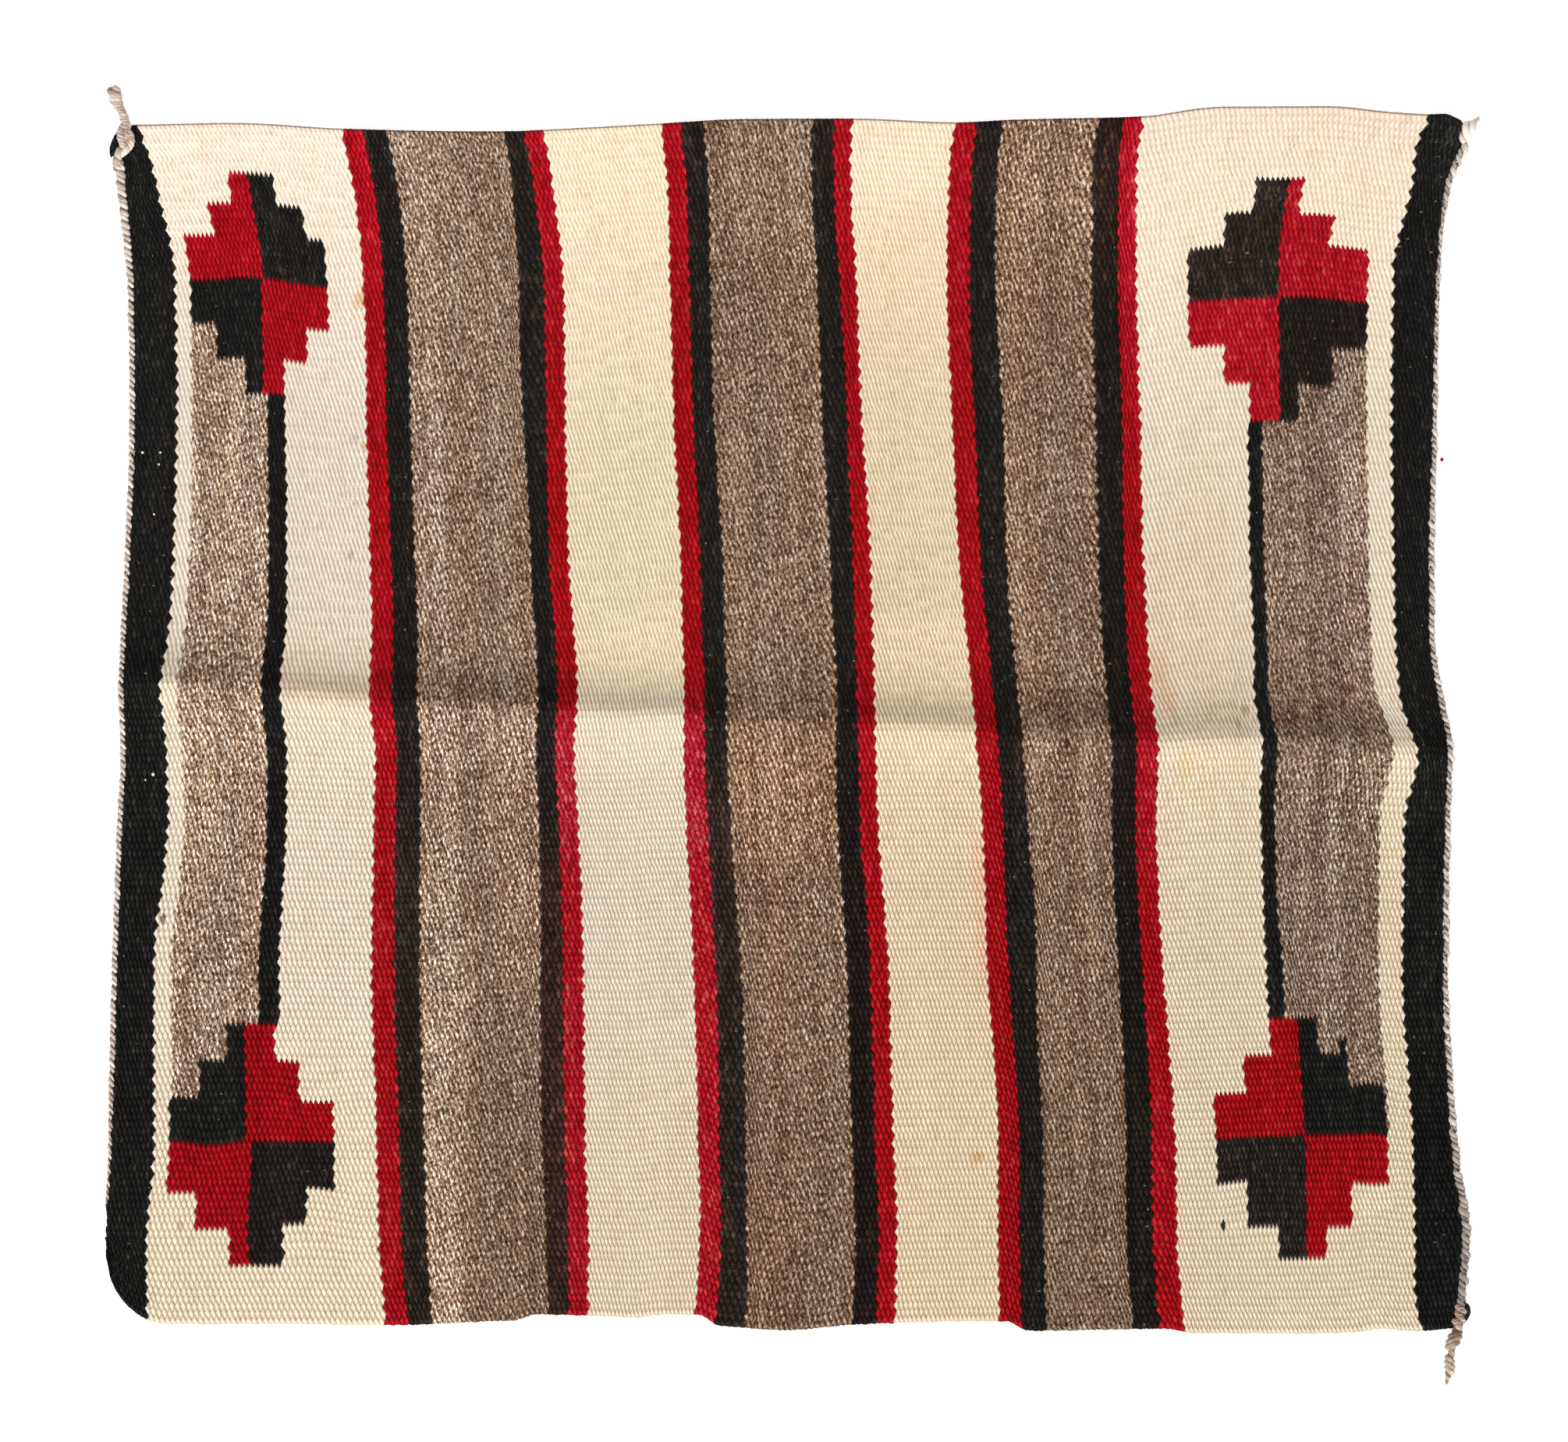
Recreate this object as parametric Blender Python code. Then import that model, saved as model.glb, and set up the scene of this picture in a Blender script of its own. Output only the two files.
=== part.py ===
"""Navajo saddle rug, laid flat: one woven field, two edging cords and their tied ends.

The warps run along X and lie side by side as ribs. The wefts, called picks, run along Y.
A place on the field is given as (pick, rib): picks count from the left edge, ribs from the top edge.
All sizes below are in millimetres and are turned into metres where a mesh or a curve is made.
"""
import math
from collections import namedtuple

import bmesh
import bpy

MM = 0.001

# Counts of the weave
RIBS = 164
PICKS = 567

# Thickness of the cloth, and how far the groove between two ribs is sunk below their crests
THICKNESS = 4.0
GROOVE_DEPTH = 0.8

# Clear distance between pieces that touch
GAP = 0.35

# Where the stripes start and end, as X at chosen ribs from the top edge down
Section = namedtuple(
    "Section",
    "rib left_edge left_border band1_start band1_end band2_start band2_end "
    "band3_start band3_end right_border right_edge",
)
SECTIONS = (
    Section(0, -385, -369, -254, -141, -74, 34, 92, 198, 360, 378),
    Section(4, -385, -366, -251, -138, -73, 33, 90, 196, 354, 377),
    Section(5.5, -378, -364, -250, -137, -72, 33, 89, 195, 352, 374),
    Section(10, -376, -357, -247, -134, -70, 33, 88, 194, 349, 366),
    Section(21, -372, -348, -243, -129, -69, 36, 87, 194, 339, 362),
    Section(40, -371, -347, -241, -128, -67, 39, 90, 196, 338, 360),
    Section(60, -374, -349, -238, -126, -63, 44, 94, 198, 339, 358),
    Section(70, -376, -352, -237, -123, -62, 45, 98, 200, 340, 358),
    Section(77, -379, -356, -238, -121, -61, 46, 101, 202, 342, 362),
    Section(86, -376, -353, -235, -123, -61, 47, 104, 206, 353, 368),
    Section(95, -378, -352, -236, -121, -60, 48, 107, 205, 345, 367),
    Section(115, -380, -360, -237, -118, -56, 54, 110, 209, 344, 366),
    Section(140, -383, -360, -234, -117, -53, 57, 116, 216, 350, 371),
    Section(152, -387, -364, -233, -115, -52, 59, 116, 217, 351, 377),
    Section(164, -387, -364, -229, -115, -55, 58, 117, 221, 354, 371),
)

# The same stripe edges in picks, in the order of the columns above
STRIPE_PICKS = (0, 18, 105, 189, 243, 319, 365, 440, 550, PICKS)

# Y of the top and bottom selvedges at chosen picks
Selvedge = namedtuple("Selvedge", "pick top bottom")
SELVEDGES = (
    Selvedge(0, 344, -332),
    Selvedge(60, 346, -332),
    Selvedge(105, 343, -333),
    Selvedge(160, 342, -329),
    Selvedge(189, 342.5, -327.5),
    Selvedge(243, 346, -327.5),
    Selvedge(275, 349, -335),
    Selvedge(319, 349, -332),
    Selvedge(365, 347, -332),
    Selvedge(400, 349, -336),
    Selvedge(440, 350.5, -336.5),
    Selvedge(470, 356, -337),
    Selvedge(510, 356, -337),
    Selvedge(550, 351, -335.5),
    Selvedge(567, 349, -334),
)

# Rounded corners: each is a quarter ellipse, taken up by the ribs nearest to it
Corner = namedtuple("Corner", "at_left at_top width height ribs")
CORNERS = (
    Corner(True, True, 13.0, 12.0, 5),
    Corner(True, False, 36.0, 38.0, 14),
    Corner(False, False, 4.0, 5.0, 4),
)

# The soft crease across the middle, which stands up as a low ridge
CREASE_RIB_LEFT = 77.0
CREASE_RIB_RIGHT = 86.0
CREASE_HEIGHT_LEFT = 7.0
CREASE_HEIGHT_RIGHT = 12.0
CREASE_FALL_ABOVE = 25.0
CREASE_FALL_BELOW = 18.0
CREASE_ROUNDING = 4.0
CREASE_CUTOFF = 0.05
RIB_PITCH = 4.13

# Columns of the cloth's faces, in picks
FIELD_PICKS = (0, 7, 24, 105, 189, 243, 275, 360, 430, 475, 512, 550, 567)

# Edging cords: how thick they are at chosen ribs, and how far they stand up off the floor there
CordSize = namedtuple("CordSize", "rib radius rise")
LEFT_CORD = (
    CordSize(6.2, 2.2, 3.0),
    CordSize(9, 2.2, 0.8),
    CordSize(16, 1.9, 0),
    CordSize(30, 1.6, 0),
    CordSize(130, 1.6, 0),
    CordSize(140, 1.2, 0),
    CordSize(148, 0.9, 0),
)
RIGHT_CORD = (
    CordSize(2.6, 2.3, 0),
    CordSize(12, 1.6, 0),
    CordSize(128, 1.6, 0),
    CordSize(145, 2.2, 0),
    CordSize(161, 2.2, 0),
)
CORD_STEP_RIBS = 2.0
TUBE_ROUNDNESS = 2

# Tied ends: the line that each free end follows, and the knots on it
Stop = namedtuple("Stop", "x y z radius")
Knot = namedtuple("Knot", "x y z half_x half_y half_z turn")
TOP_LEFT_TAIL = (
    Stop(-381.0, 319.2, 5.3, 2.2),
    Stop(-380.8, 321.6, 6.7, 2.2),
    Stop(-380.2, 325.0, 7.1, 2.3),
    Stop(-378.4, 330.4, 7.2, 2.4),
    Stop(-376.0, 334.6, 7.1, 2.4),
    Stop(-376.6, 341.0, 6.7, 2.2),
    Stop(-378.1, 347.8, 5.6, 2.1),
    Stop(-380.2, 354.0, 4.3, 2.6),
    Stop(-382.2, 360.4, 3.6, 3.3),
    Stop(-383.4, 364.6, 3.3, 2.3),
)
TOP_LEFT_KNOTS = (
    Knot(-375.6, 333.6, 7.2, 4.9, 4.2, 2.8, 20),
    Knot(-379.6, 329.4, 7.0, 4.3, 2.8, 2.6, 25),
)
BOTTOM_RIGHT_TAIL = (
    Stop(375.5, -321.5, 2.5, 2.2),
    Stop(376.1, -326.0, 2.7, 2.4),
    Stop(375.3, -331.6, 2.9, 2.7),
    Stop(373.0, -337.4, 3.3, 2.3),
    Stop(371.2, -345.6, 3.1, 1.9),
    Stop(370.1, -353.0, 2.9, 1.9),
    Stop(368.8, -359.6, 2.3, 1.7),
    Stop(368.6, -365.9, 1.2, 0.8),
)
BOTTOM_RIGHT_KNOTS = (
    Knot(372.3, -340.9, 4.2, 3.8, 4.6, 3.6, -20),
    Knot(370.1, -354.0, 3.5, 2.9, 4.2, 3.0, 10),
)
TOP_RIGHT_TUFT = (
    Stop(380.4, 339.1, 2.4, 2.0),
    Stop(383.2, 342.8, 2.5, 2.5),
    Stop(385.3, 346.2, 1.9, 1.7),
    Stop(387.1, 348.4, 1.1, 0.7),
)

# Twist of a tied end, and its two-ply section as shares of its radius
TWIST_LENGTH = 13.0
TWIST_STEPS = 6
PLY_HALF_WIDTH = 1.12
PLY_HALF_HEIGHT = 0.80
PLY_ROUNDNESS = 2
WELD_DISTANCE = 0.01

# Turns of yarn that show on a knot, as ridges that slant around it
KNOT_SEGMENTS = 12
KNOT_RINGS = 8
KNOT_RIDGES = 3
KNOT_RIDGE_DEPTH = 0.10
KNOT_RIDGE_SLANT = 2.0

# Moves the middle of the whole part's outline onto the origin
CENTRE_X = 0.31
CENTRE_Y = 0.45

WOOL = {
    "woven_wool": ((0.62, 0.52, 0.40, 1.0), 0.93),
    "cord_wool": ((0.45, 0.37, 0.31, 1.0), 0.92),
}


def smooth_between(places, values, at):
    """Smooth curve through the values, which never swings past them."""
    if at <= places[0]:
        return values[0]
    if at >= places[-1]:
        return values[-1]
    spans = [b - a for a, b in zip(places, places[1:])]
    slopes = [(b - a) / span for a, b, span in zip(values, values[1:], spans)]
    k = max(i for i, place in enumerate(places) if place <= at)

    def tangent(i):
        if i in (0, len(places) - 1):
            return slopes[0] if i == 0 else slopes[-1]
        before, after = slopes[i - 1], slopes[i]
        if before * after <= 0:
            return 0.0
        return 2 * before * after / (before + after)

    t = (at - places[k]) / spans[k]
    rise = values[k + 1] - values[k]
    start = tangent(k) * spans[k]
    end = tangent(k + 1) * spans[k]
    return values[k] + t * (start + t * (3 * rise - 2 * start - end + t * (start + end - 2 * rise)))


def stripe_places(rib):
    """X of each stripe edge on this rib."""
    ribs = [section.rib for section in SECTIONS]
    return [smooth_between(ribs, list(edge), rib) for edge in zip(*(section[1:] for section in SECTIONS))]


def field_x(pick, rib):
    """X on the field, straight between two stripe edges."""
    places = stripe_places(rib)
    k = max(i for i, start in enumerate(STRIPE_PICKS[:-1]) if start <= pick)
    share = (pick - STRIPE_PICKS[k]) / (STRIPE_PICKS[k + 1] - STRIPE_PICKS[k])
    return places[k] + share * (places[k + 1] - places[k])


def corner_drop(pick, rib):
    """How far a rounded corner draws this place in from its selvedge: (from the top, from the bottom)."""
    drops = [0.0, 0.0]
    x = field_x(pick, rib)
    for corner in CORNERS:
        edge = field_x(0 if corner.at_left else PICKS, rib)
        inward = abs(x - edge)
        from_end = rib if corner.at_top else RIBS - rib
        if inward >= corner.width or from_end >= corner.ribs:
            continue
        off = 1 - inward / corner.width
        depth = corner.height * (1 - math.sqrt(1 - off * off))
        fade = 1 - from_end / corner.ribs
        drops[0 if corner.at_top else 1] += depth * fade * fade * (3 - 2 * fade)
    return drops


def field_y(pick, rib):
    """Y on the field, evenly shared out between the two selvedges."""
    picks = [s.pick for s in SELVEDGES]
    from_top, from_bottom = corner_drop(pick, rib)
    top = smooth_between(picks, [s.top for s in SELVEDGES], pick)
    bottom = smooth_between(picks, [s.bottom for s in SELVEDGES], pick)
    return top + (bottom - top) * rib / RIBS - from_top + from_bottom


def field_lift(pick, rib):
    """Height of the cloth's underside over the floor, which is zero away from the crease."""
    across = pick / PICKS
    crest = CREASE_RIB_LEFT + across * (CREASE_RIB_RIGHT - CREASE_RIB_LEFT)
    height = CREASE_HEIGHT_LEFT + across * (CREASE_HEIGHT_RIGHT - CREASE_HEIGHT_LEFT)
    away = (rib - crest) * RIB_PITCH
    fall = CREASE_FALL_BELOW if away > 0 else CREASE_FALL_ABOVE
    distance = math.hypot(away, CREASE_ROUNDING) - CREASE_ROUNDING
    share = (math.exp(-distance / fall) - CREASE_CUTOFF) / (1 - CREASE_CUTOFF)
    return height * max(0.0, share)


def placed(x, y, z):
    """A place in millimetres as metres from the part's origin."""
    return ((x + CENTRE_X) * MM, (y + CENTRE_Y) * MM, z * MM)


def wool(name):
    colour, roughness = WOOL[name]
    material = bpy.data.materials.get(name) or bpy.data.materials.new(name)
    material.use_nodes = True
    material.diffuse_color = colour
    shader = material.node_tree.nodes["Principled BSDF"]
    shader.inputs["Base Color"].default_value = colour
    shader.inputs["Roughness"].default_value = roughness
    shader.inputs["Metallic"].default_value = 0.0
    return material


def add_object(name, data, collection, material):
    thing = bpy.data.objects.new(name, data)
    collection.objects.link(thing)
    if material is not None:
        data.materials.append(material)
    return thing


def woven_field(collection):
    """The cloth: ribbed on top, flat underneath, one closed solid."""
    columns = len(FIELD_PICKS) - 1
    rows = 2 * RIBS
    slab = bmesh.new()
    bmesh.ops.create_grid(slab, x_segments=columns, y_segments=rows, size=1.0)
    raised = bmesh.ops.extrude_face_region(slab, geom=slab.faces[:])["geom"]
    bmesh.ops.translate(slab, vec=(0, 0, 1), verts=[v for v in raised if isinstance(v, bmesh.types.BMVert)])
    for vertex in slab.verts:
        column = round((vertex.co.x + 1) / 2 * columns)
        row = round((1 - vertex.co.y) / 2 * rows)
        on_top = vertex.co.z > 0.5
        pick = FIELD_PICKS[column]
        rib = row / 2
        height = field_lift(pick, rib)
        if on_top:
            height += THICKNESS if row % 2 else THICKNESS - GROOVE_DEPTH
        vertex.co = placed(field_x(pick, rib), field_y(pick, rib), height)
    bmesh.ops.recalc_face_normals(slab, faces=slab.faces[:])
    mesh = bpy.data.meshes.new("woven_field")
    slab.to_mesh(mesh)
    slab.free()
    return add_object("woven_field", mesh, collection, wool("woven_wool"))


def tube_curve(name, points, collection, material):
    """A capped tube along the points, each given as (place in metres, radius in metres, twist)."""
    curve = bpy.data.curves.new(name, "CURVE")
    curve.dimensions = "3D"
    curve.use_fill_caps = True
    curve.bevel_resolution = TUBE_ROUNDNESS
    curve.bevel_depth = 1.0
    spline = curve.splines.new("POLY")
    spline.points.add(len(points) - 1)
    for point, (place, radius, twist) in zip(spline.points, points):
        point.co = (*place, 1.0)
        point.radius = radius
        point.tilt = twist
    return add_object(name, curve, collection, material)


def cord_points(sizes, pick, side):
    """The line of an edging cord beside the field's edge; side is -1 at the left and 1 at the right."""
    ribs = [size.rib for size in sizes]
    steps = math.ceil((ribs[-1] - ribs[0]) / CORD_STEP_RIBS)
    points = []
    for step in range(steps + 1):
        rib = ribs[0] + (ribs[-1] - ribs[0]) * step / steps
        radius = smooth_between(ribs, [size.radius for size in sizes], rib)
        rise = smooth_between(ribs, [size.rise for size in sizes], rib)
        lean = math.hypot(field_x(pick, rib + 0.5) - field_x(pick, rib - 0.5), RIB_PITCH) / RIB_PITCH
        x = field_x(pick, rib) + side * (GAP + radius) * lean
        place = placed(x, field_y(pick, rib), field_lift(pick, rib) + radius + rise)
        points.append((place, radius * MM, 0.0))
    return points


def edging_cord(name, sizes, pick, side, collection):
    return tube_curve(name, cord_points(sizes, pick, side), collection, wool("cord_wool"))


def ply_profile(guides):
    """The cross-section of two plies lying together, as a guide for the tied ends."""
    bpy.ops.curve.primitive_bezier_circle_add(radius=1.0)
    profile = bpy.context.object
    profile.name = "two_ply_profile"
    profile.data.resolution_u = PLY_ROUNDNESS
    for point in profile.data.splines[0].bezier_points:
        for place in (point.co, point.handle_left, point.handle_right):
            place.x *= PLY_HALF_WIDTH
            place.y *= PLY_HALF_HEIGHT
    for owner in list(profile.users_collection):
        owner.objects.unlink(profile)
    guides.objects.link(profile)
    profile.hide_render = True
    profile.display_type = "WIRE"
    return profile


def stop_points(stops):
    """A smooth line through the stops, with the twist that it has on the way."""
    reach = [0.0]
    for a, b in zip(stops, stops[1:]):
        reach.append(reach[-1] + math.dist(a[:3], b[:3]))
    steps = math.ceil(reach[-1] / TWIST_LENGTH * TWIST_STEPS)
    points = []
    for step in range(steps + 1):
        along = reach[-1] * step / steps
        x, y, z, radius = (smooth_between(reach, [stop[i] for stop in stops], along) for i in range(4))
        height = max(z, radius * PLY_HALF_WIDTH)
        points.append((placed(x, y, height), radius * MM, 2 * math.pi * along / TWIST_LENGTH))
    return points


def twisted_tail(name, stops, profile, collection):
    """A short two-ply end as a closed mesh, turned from a curve so that knots can be joined to it."""
    tail = tube_curve(name + "_line", stop_points(stops), collection, None)
    tail.data.bevel_mode = "OBJECT"
    tail.data.bevel_object = profile
    bpy.context.view_layer.update()
    evaluated = tail.evaluated_get(bpy.context.evaluated_depsgraph_get())
    mesh = bpy.data.meshes.new_from_object(evaluated)
    mesh.name = name
    bpy.data.objects.remove(tail)
    welded = bmesh.new()
    welded.from_mesh(mesh)
    bmesh.ops.remove_doubles(welded, verts=welded.verts[:], dist=WELD_DISTANCE * MM)
    bmesh.ops.recalc_face_normals(welded, faces=welded.faces[:])
    welded.to_mesh(mesh)
    welded.free()
    return add_object(name, mesh, collection, wool("cord_wool"))


def knot_lump(name, knot, guides):
    """One knot: a ball drawn out to its three half sizes, with the ridges of the turns around it."""
    lump = bmesh.new()
    bmesh.ops.create_uvsphere(lump, u_segments=KNOT_SEGMENTS, v_segments=KNOT_RINGS, radius=1.0)
    turn = math.radians(knot.turn)
    for vertex in lump.verts:
        around = math.atan2(vertex.co.y, vertex.co.x)
        ridge = 1 + KNOT_RIDGE_DEPTH * math.cos(KNOT_RIDGES * around + KNOT_RIDGE_SLANT * vertex.co.z)
        x = vertex.co.x * ridge * knot.half_x
        y = vertex.co.y * ridge * knot.half_y
        across = x * math.cos(turn) - y * math.sin(turn)
        up = x * math.sin(turn) + y * math.cos(turn)
        vertex.co = placed(knot.x + across, knot.y + up, knot.z + vertex.co.z * knot.half_z)
    mesh = bpy.data.meshes.new(name)
    lump.to_mesh(mesh)
    lump.free()
    ball = add_object(name, mesh, guides, None)
    ball.hide_render = True
    ball.display_type = "WIRE"
    return ball


def tied_end(name, stops, knots, profile, collection, guides):
    """A free end of an edging cord with the knots that hold it."""
    end = twisted_tail(name, stops, profile, collection)
    for number, knot in enumerate(knots, start=1):
        union = end.modifiers.new(f"knot_{number}", "BOOLEAN")
        union.operation = "UNION"
        union.solver = "EXACT"
        union.object = knot_lump(f"{name}_knot_{number}", knot, guides)
    for face in end.data.polygons:
        face.use_smooth = True
    return end


def main():
    for thing in list(bpy.data.objects):
        bpy.data.objects.remove(thing)
    rug = bpy.data.collections.new("navajo_rug")
    guides = bpy.data.collections.new("guides")
    for collection in (rug, guides):
        bpy.context.scene.collection.children.link(collection)
    profile = ply_profile(guides)
    woven_field(rug)
    edging_cord("left_end_cord", LEFT_CORD, 0, -1, rug)
    edging_cord("right_end_cord", RIGHT_CORD, PICKS, 1, rug)
    tied_end("top_left_tie", TOP_LEFT_TAIL, TOP_LEFT_KNOTS, profile, rug, guides)
    tied_end("bottom_right_tie", BOTTOM_RIGHT_TAIL, BOTTOM_RIGHT_KNOTS, profile, rug, guides)
    tied_end("top_right_tuft", TOP_RIGHT_TUFT, (), profile, rug, guides)


main()
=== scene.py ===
"""Looks of a tapestry-woven wool saddle rug that lies flat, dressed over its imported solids.

The warps run along X and lie side by side as ribs. The wefts, called picks, run along Y and cover them.
A place on the cloth is given as (pick, rib): picks count from the left end, ribs from the top selvedge.
On each rib every second pick passes over the warp and shows there as one bead, so beads lie like bricks.
Sizes are in millimetres and turned into metres where a mesh is made. Wool colours are sRGB from 0 to 255,
and a tint is what they are multiplied by.
"""
import logging
import math
from collections.abc import Sequence
from dataclasses import dataclass, field, replace
from enum import IntEnum

import bpy
import numpy as np
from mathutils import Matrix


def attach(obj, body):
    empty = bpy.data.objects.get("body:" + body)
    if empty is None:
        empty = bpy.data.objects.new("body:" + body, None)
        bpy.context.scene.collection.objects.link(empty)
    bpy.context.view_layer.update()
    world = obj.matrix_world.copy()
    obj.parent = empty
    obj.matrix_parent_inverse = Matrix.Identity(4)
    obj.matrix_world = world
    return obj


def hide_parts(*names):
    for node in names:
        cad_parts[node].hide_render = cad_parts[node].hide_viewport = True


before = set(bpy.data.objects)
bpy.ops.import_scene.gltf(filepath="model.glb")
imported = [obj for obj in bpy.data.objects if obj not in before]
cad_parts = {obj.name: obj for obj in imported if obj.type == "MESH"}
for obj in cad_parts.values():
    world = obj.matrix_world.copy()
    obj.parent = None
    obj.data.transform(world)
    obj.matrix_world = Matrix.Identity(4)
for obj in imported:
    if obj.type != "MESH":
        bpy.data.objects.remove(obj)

log = logging.getLogger("saddle_rug")

Array = np.ndarray
Colour = tuple[float, float, float]

MM = 0.001
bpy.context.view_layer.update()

# Counts and pitches of the weave
RIBS = 164
PICKS = 567
RIB_PITCH = 4.13
PICK_PITCH = 1.345

# Moves the middle of the whole rug's outline onto the origin
CENTRE_X = 0.31
CENTRE_Y = 0.45


def ease(share: Array) -> Array:
    """Turn a straight rise from 0 to 1 into a smooth one."""
    return share * share * (3 - 2 * share)


# X of each stripe edge from left to right, by the rib that it crosses, and the edges' picks
STRIPE_EDGES = {
    0: (-385, -369, -254, -141, -74, 34, 92, 198, 360, 378),
    3: (-385, -364.8, -252, -138, -73, 33, 90, 196, 354, 377),
    4.4: (-378, -362.6, -250.6, -137, -72, 33, 89, 195, 352, 374),
    10: (-376, -357, -247, -134, -70, 33, 88, 194, 349, 366),
    21: (-372, -348, -243, -129, -69, 36, 87, 194, 339, 362),
    40: (-371, -347, -241, -128, -67, 39, 90, 196, 338, 360),
    60: (-374, -349, -238, -126, -63, 44, 94, 198, 339, 358),
    70: (-376, -352, -237, -123, -62, 45, 98, 200, 340, 358),
    77: (-377, -356, -238, -121, -61, 46, 101, 202, 342, 362),
    86: (-376, -353, -235, -123, -61, 47, 104, 206, 353, 368),
    95: (-378, -352, -236, -121, -60, 48, 107, 205, 345, 367),
    115: (-381, -360, -237, -118, -56, 54, 110, 209, 344, 366),
    140: (-384, -360, -234, -117, -53, 57, 116, 216, 350, 371),
    152: (-387, -364, -233, -115, -52, 59, 116, 217, 351, 377),
    159: (-387, -364, -231, -115, -53.5, 58.5, 116.5, 219, 351, 374.5),
    164: (-387, -364, -229, -115, -55, 58, 117, 221, 355, 372.6),
}
STRIPE_PICKS = (0, 18, 105, 189, 243, 319, 365, 440, 550, PICKS)

# Y of each selvedge by pick
TOP_SELVEDGE = {
    0: 343.6, 60: 345.2, 105: 342, 160: 340.5, 177: 340.6, 187: 341.2, 243: 345, 275: 347.4, 319: 347.7,
    365: 345.6, 387: 347, 440: 349, 460: 353.2, 470: 354.4, 510: 354.6, 535: 351.4, 550: 350.2,
    557: 350.4, 562: 348.4, 567: 346.0,
}
BOTTOM_SELVEDGE = {
    0: -332, 60: -331.6, 105: -332.2, 150: -329.9, 158: -329.5, 166: -326.2, 195: -327.2, 212: -328,
    226: -326.4, 244: -326.4, 252: -332.6, 278: -335, 302: -332, 340: -330.3, 367: -330, 376: -335.4,
    432: -334.3, 443: -336.8, 487: -337.2, 518: -336.4, 530: -334.4, 545: -335.5, 567: -334,
}


@dataclass(frozen=True)
class Corner:
    """A corner rounded off as a quarter ellipse, which the nearest ribs take up."""

    at_left: bool
    at_top: bool
    width: float
    height: float
    ribs: float


CORNERS = (
    Corner(True, True, 13.0, 12.0, 5),
    Corner(True, False, 36.0, 38.0, 14),
    Corner(False, False, 2.0, 2.5, 2),
    Corner(False, True, 3.4, 3.0, 2),
)


@dataclass(frozen=True)
class Pull:
    """A soft drawing of the cloth to the right and down, in millimetres, which dies away around one place."""

    pick: float
    rib: float
    half_picks: float
    half_ribs: float
    right: float
    down: float

    def share(self, picks: Array, ribs: Array) -> Array:
        """Tell how much of the pull each place of a grid feels.

        Args:
            picks: Picks of the grid's columns.
            ribs: Ribs of the grid's rows.

        Returns:
            Shares from 0 to 1, with one row for each rib.
        """
        away = ((picks[None, :] - self.pick) / self.half_picks) ** 2
        away = away + ((ribs[:, None] - self.rib) / self.half_ribs) ** 2
        return np.maximum(1 - away, 0.0) ** 2


PULLS = (
    Pull(173, 26, 8, 30, -3.5, 0), Pull(173, 135, 8, 42, -1.8, 0), Pull(251, 115, 7, 48, 1.3, 0),
    Pull(260, 125, 8, 46, 2.6, 0), Pull(260, 34, 8, 30, -1.1, 0), Pull(260, 163, 8, 12, 3.0, 0),
    Pull(303, 77, 6, 12, 1.6, 0), Pull(312, 38, 6, 16, 1.6, 0), Pull(384, 42, 8, 24, 1.7, 0),
    Pull(384, 110, 8, 20, 2.9, 0), Pull(426, 25, 12, 75, 3.5, 0), Pull(424, 150, 12, 34, -3.5, 0),
    Pull(551, 82.5, 14, 6, -2.6, 0), Pull(489, 85, 25, 14, -4.0, 0), Pull(494, 118, 10, 14, 2.6, 0),
    Pull(105, 26, 12, 32, 1.3, 0), Pull(84, 24, 34, 18, 0, 4.2), Pull(32, 22, 16, 14, 0, 1.3),
    Pull(482, 15, 16, 8, 0, -2.2), Pull(522, 35, 22, 10, 0, 2.4), Pull(81, 132, 20, 7, 0, 2.6),
    Pull(78, 149, 22, 9, 0, -3.7), Pull(505, 136, 55, 24, 0, -2.4), Pull(512, 20, 62, 22, 0, -2.8),
    Pull(50, 7, 20, 8, 0, -1.3), Pull(40, 139, 14, 6, 0, 2.2), Pull(480, 146, 24, 9, 0, -2.0),
    Pull(531, 131.5, 14, 5, 0, -3.4), Pull(530, 144, 14, 5, 0, 3.2),
)


@dataclass(frozen=True)
class Crease:
    """The soft crease across the middle, which stands up as a low ridge."""

    rib_left: float = 75.9
    rib_middle: float = 80.9
    rib_right: float = 86.0
    middle: float = 0.38
    height_left: float = 12.5
    height_right: float = 12.0
    fall_above: float = 17.0
    fall_below: float = 26.0
    rounding: float = 5.0
    cutoff: float = 0.05
    change: float = 10.0

    def away(self, across: Array, rib: Array) -> Array:
        """Give the distance from the crest, above zero towards the bottom selvedge."""
        ribs = [self.rib_left, self.rib_middle, self.rib_right]
        return (rib - smooth_between([0.0, self.middle, 1.0], ribs, across)) * RIB_PITCH

    def below(self, across: Array, rib: Array) -> Array:
        """Tell softly whether a place is above the crest, at 0, or below it, at 1."""
        return 1 / (1 + np.exp(-self.away(across, rib) / self.change))

    def lift(self, pick: Array, rib: Array) -> Array:
        """Give the height of the cloth's underside over the floor.

        Args:
            pick: Picks from the left end.
            rib: Ribs from the top selvedge.

        Returns:
            Heights in millimetres, zero away from the crease.
        """
        across = pick / PICKS
        height = self.height_left + across * (self.height_right - self.height_left)
        away = self.away(across, rib)
        fall = np.where(away > 0, self.fall_below, self.fall_above)
        distance = np.hypot(away, self.rounding) - self.rounding
        share = (np.exp(-distance / fall) - self.cutoff) / (1 - self.cutoff)
        return height * np.maximum(share, 0.0)


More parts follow.
